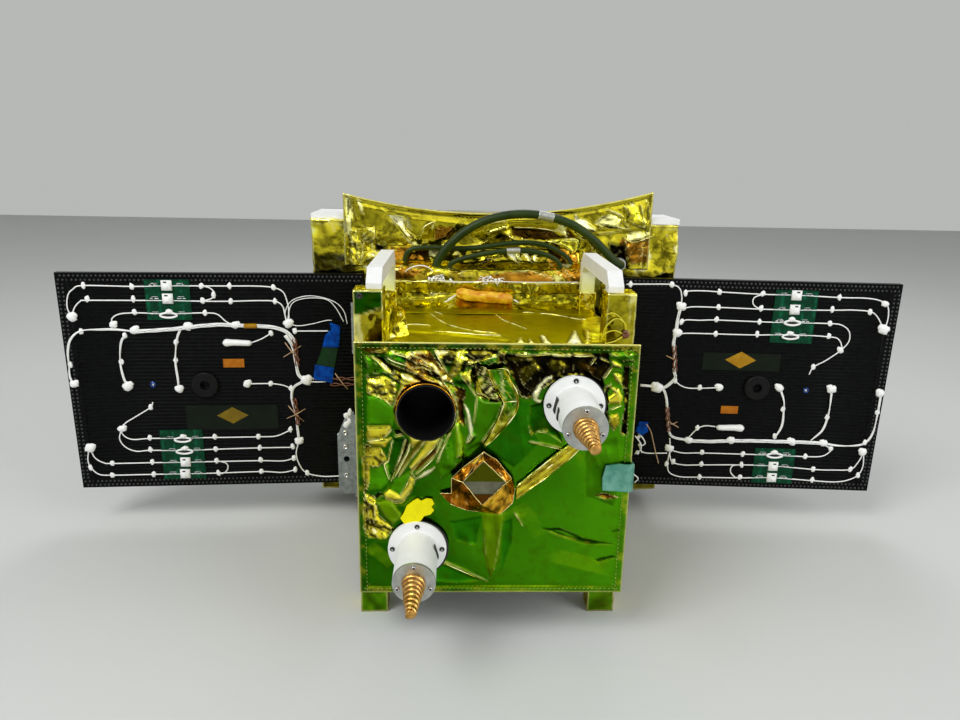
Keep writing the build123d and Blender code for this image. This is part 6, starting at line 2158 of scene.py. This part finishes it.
def make_side_seams():
    """Stitched borders of the side blankets."""
    depth, size = SIDE_CRUMPLE
    for side, name in SIDES:
        low, high = box_mm(f"{name}_side_blanket")
        outer = high[0] if side > 0 else low[0]
        lift = plain_crumple(depth, 41 + side, size)
        (y0, y1), (z0, z1) = ((low[k] + 9, high[k] - 9) for k in (1, 2))
        corners = ((y0, z0), (y1, z0), (y1, z1), (y0, z1))
        parts = []
        for (ya, za), (yb, zb) in zip(corners, corners[1:] + corners[:1]):
            share = np.linspace(0, 1, 60)
            spots = np.stack([np.full(60, outer), ya + (yb - ya) * share, za + (zb - za) * share], 1)
            spots[:, 0] += side * (lift(spots, None) + 0.2)
            parts.append(dashes(spots, 2.6, 3.4, 0.5, (side, 0, 0)))
        make_piece(f"{name}_side_stitches", *join(parts), "thread")


def make_busbars(node, body, outward):
    """Two silver lines on each solar cell of a CAD node."""
    mesh = frame["nodes"][node].data
    matrix = frame["nodes"][node].matrix_world
    group = list(range(len(mesh.vertices)))

    def root(k):
        while group[k] != k:
            group[k] = group[group[k]]
            k = group[k]
        return k

    for edge in mesh.edges:
        group[root(edge.vertices[0])] = root(edge.vertices[1])
    cells = {}
    for vertex in mesh.vertices:
        cells.setdefault(root(vertex.index), []).append(np.array(matrix @ vertex.co) / MM)
    outward = np.array(outward, float)
    across = np.cross((0, 0, 1), outward)
    bars = []
    for corners in cells.values():
        corners = np.array(corners)
        face = (corners @ outward).max()
        middle = (corners.min(0) + corners.max(0)) / 2
        middle += outward * (face - middle @ outward)
        wide, tall = np.ptp(corners @ across), np.ptp(corners[:, 2])
        for end in (-0.25, 0.25):
            bars.append(place(block(1.6, tall - 1.0, 0.2, 0.05), middle + across * end * wide, outward))
    make_piece(node.replace("cells", "busbars"), *join(bars), "silver_line", body, smooth=False)


# Width of the rounded edges of CAD nodes, by the end of their name
BEVELS = {
    "handle": 4.0, "antenna_flange": 0.8, "antenna_can": 0.6, "antenna_cap": 0.8, "hinge_leaf": 0.5,
    "hinge_bracket": 0.5, "rear_top_plate": 0.6, "base_plate": 1.0, "cable_glands": 0.6, "wing_boss": 0.6,
    "aperture_baffle": 0.5, "foot_pads": 0.6, "wing_boards": 0.2, "wing_panel": 0.5,
}


def finish_nodes():
    """Rounded edges and the right finish on the CAD nodes."""
    slots = {part["node"]: part["material_slot"] for part in frame["record"]["subparts"]}
    for node, piece in frame["nodes"].items():
        material = MATERIALS[slots[node]]
        if piece.data.materials:
            for number in range(len(piece.data.materials)):
                piece.data.materials[number] = material
        else:
            piece.data.materials.append(material)
        for ending, width in BEVELS.items():
            if node.endswith(ending):
                bevel = piece.modifiers.new("edges", "BEVEL")
                bevel.width = width * MM
                bevel.segments = 2 if width < 2 else 4
                bevel.limit_method = "ANGLE"
                bevel.harden_normals = False


# Floor, backdrop, lamps and world
STAGE_SIZE = 14000
WALL = (0.47, 0.48, 0.47)
LAMPS = (
    # name, place and aim in metres, size, power
    ("key", (-1.5, -1.7, 2.5), (0, -0.1, 0.3), 1.4, 54),
    ("fill", (2.1, -1.5, 1.7), (0, -0.1, 0.25), 1.6, 28),
    ("rim", (0.4, 1.9, 2.4), (0, 0, 0.3), 1.4, 16),
)


def seen_directly(tree):
    """1 for a ray from the camera, off a mirror or through glass."""
    rays = add_node(tree, "ShaderNodeLightPath")
    seen = rays.outputs["Is Camera Ray"]
    for name in ("Is Glossy Ray", "Is Transmission Ray"):
        seen = calculate(tree, "MAXIMUM", seen, rays.outputs[name])
    return seen


def make_surface(name, place_mm, turn, shade):
    """A large plain square of the stage; returns its material."""
    half = STAGE_SIZE / 2
    corners = ((-half, -half, 0), (half, -half, 0), (half, half, 0), (-half, half, 0))
    mesh = bpy.data.meshes.new(name)
    mesh.from_pydata([tuple(value * MM for value in corner) for corner in corners], [], [(0, 1, 2, 3)])
    made = bpy.data.objects.new(name, mesh)
    made.location = Vector(place_mm) * MM
    made.rotation_euler = turn
    bpy.context.scene.collection.objects.link(made)
    material = speckled(name, shade, tuple(value * 1.02 for value in shade), 2, 0.9)
    mesh.materials.append(material)
    return material


def make_stage():
    """Pale floor and backdrop, three soft lamps and a plain world."""
    scene = bpy.context.scene
    make_surface("floor", (0, 0, 0), (0, 0, 0), (0.60, 0.61, 0.60))
    tree = make_surface("backdrop", (0, 5500, 2500), (math.pi / 2, 0, 0), WALL).node_tree
    glow = add_node(tree, "ShaderNodeEmission", {"Color": (*WALL, 1), "Strength": 1.0}).outputs[0]
    mix = add_node(tree, "ShaderNodeMixShader", {"Fac": seen_directly(tree)})
    tree.links.new(tree.nodes["Principled BSDF"].outputs[0], mix.inputs[1])
    tree.links.new(glow, mix.inputs[2])
    output = next(node for node in tree.nodes if node.type == "OUTPUT_MATERIAL")
    tree.links.new(mix.outputs[0], output.inputs["Surface"])
    for name, place_m, aim_m, size, power in LAMPS:
        lamp = bpy.data.lights.new(name, "AREA")
        lamp.size = size
        lamp.energy = power
        made = bpy.data.objects.new(name, lamp)
        made.location = place_m
        made.rotation_euler = (Vector(aim_m) - Vector(place_m)).to_track_quat("-Z", "Y").to_euler()
        scene.collection.objects.link(made)
    world = bpy.data.worlds.new("world")
    world.use_nodes = True
    tree = world.node_tree
    around = add_node(tree, "ShaderNodeTexCoord").outputs["Generated"]
    inputs = {"Vector": around, "Scale": 2.6, "Detail": 2.0}
    rooms = add_node(tree, "ShaderNodeTexNoise", inputs).outputs["Fac"]
    room = mix_colours(tree, spread(tree, rooms, 0.40, 0.58), (0.16, 0.16, 0.16), (1.15, 1.16, 1.14))
    reflected = add_node(tree, "ShaderNodeLightPath").outputs["Is Glossy Ray"]
    tree.links.new(mix_colours(tree, reflected, WALL, room), tree.nodes["Background"].inputs["Color"])
    scene.world = world
    scene.view_settings.view_transform = "Standard"


make_camera()
make_cables()
make_stage()
finish_nodes()
make_front()
make_front_details()
make_sun_sensor()
make_antennas()
make_wraps()
make_screen()
make_loose_film()
make_fillet()
make_flaps()
for wing_side, wing_name in SIDES:
    wing_body = f"{wing_name}_wing"
    make_panel_face(wing_side, wing_body)
    make_wiring(wing_side, wing_body)
    make_lacing(wing_side, wing_body)
    make_boards(wing_side, wing_name, wing_body)
    make_wing_labels(wing_side, wing_name, wing_body)
make_hinge_details()
make_shelf_details()
make_post_details()
make_side_seams()
make_busbars("rear_solar_cells", "bus", (0, 1, 0))
for wing_side, wing_name in SIDES:
    make_busbars(f"{wing_name}_wing_cells", f"{wing_name}_wing", -np.array(wing_outward(wing_side)))
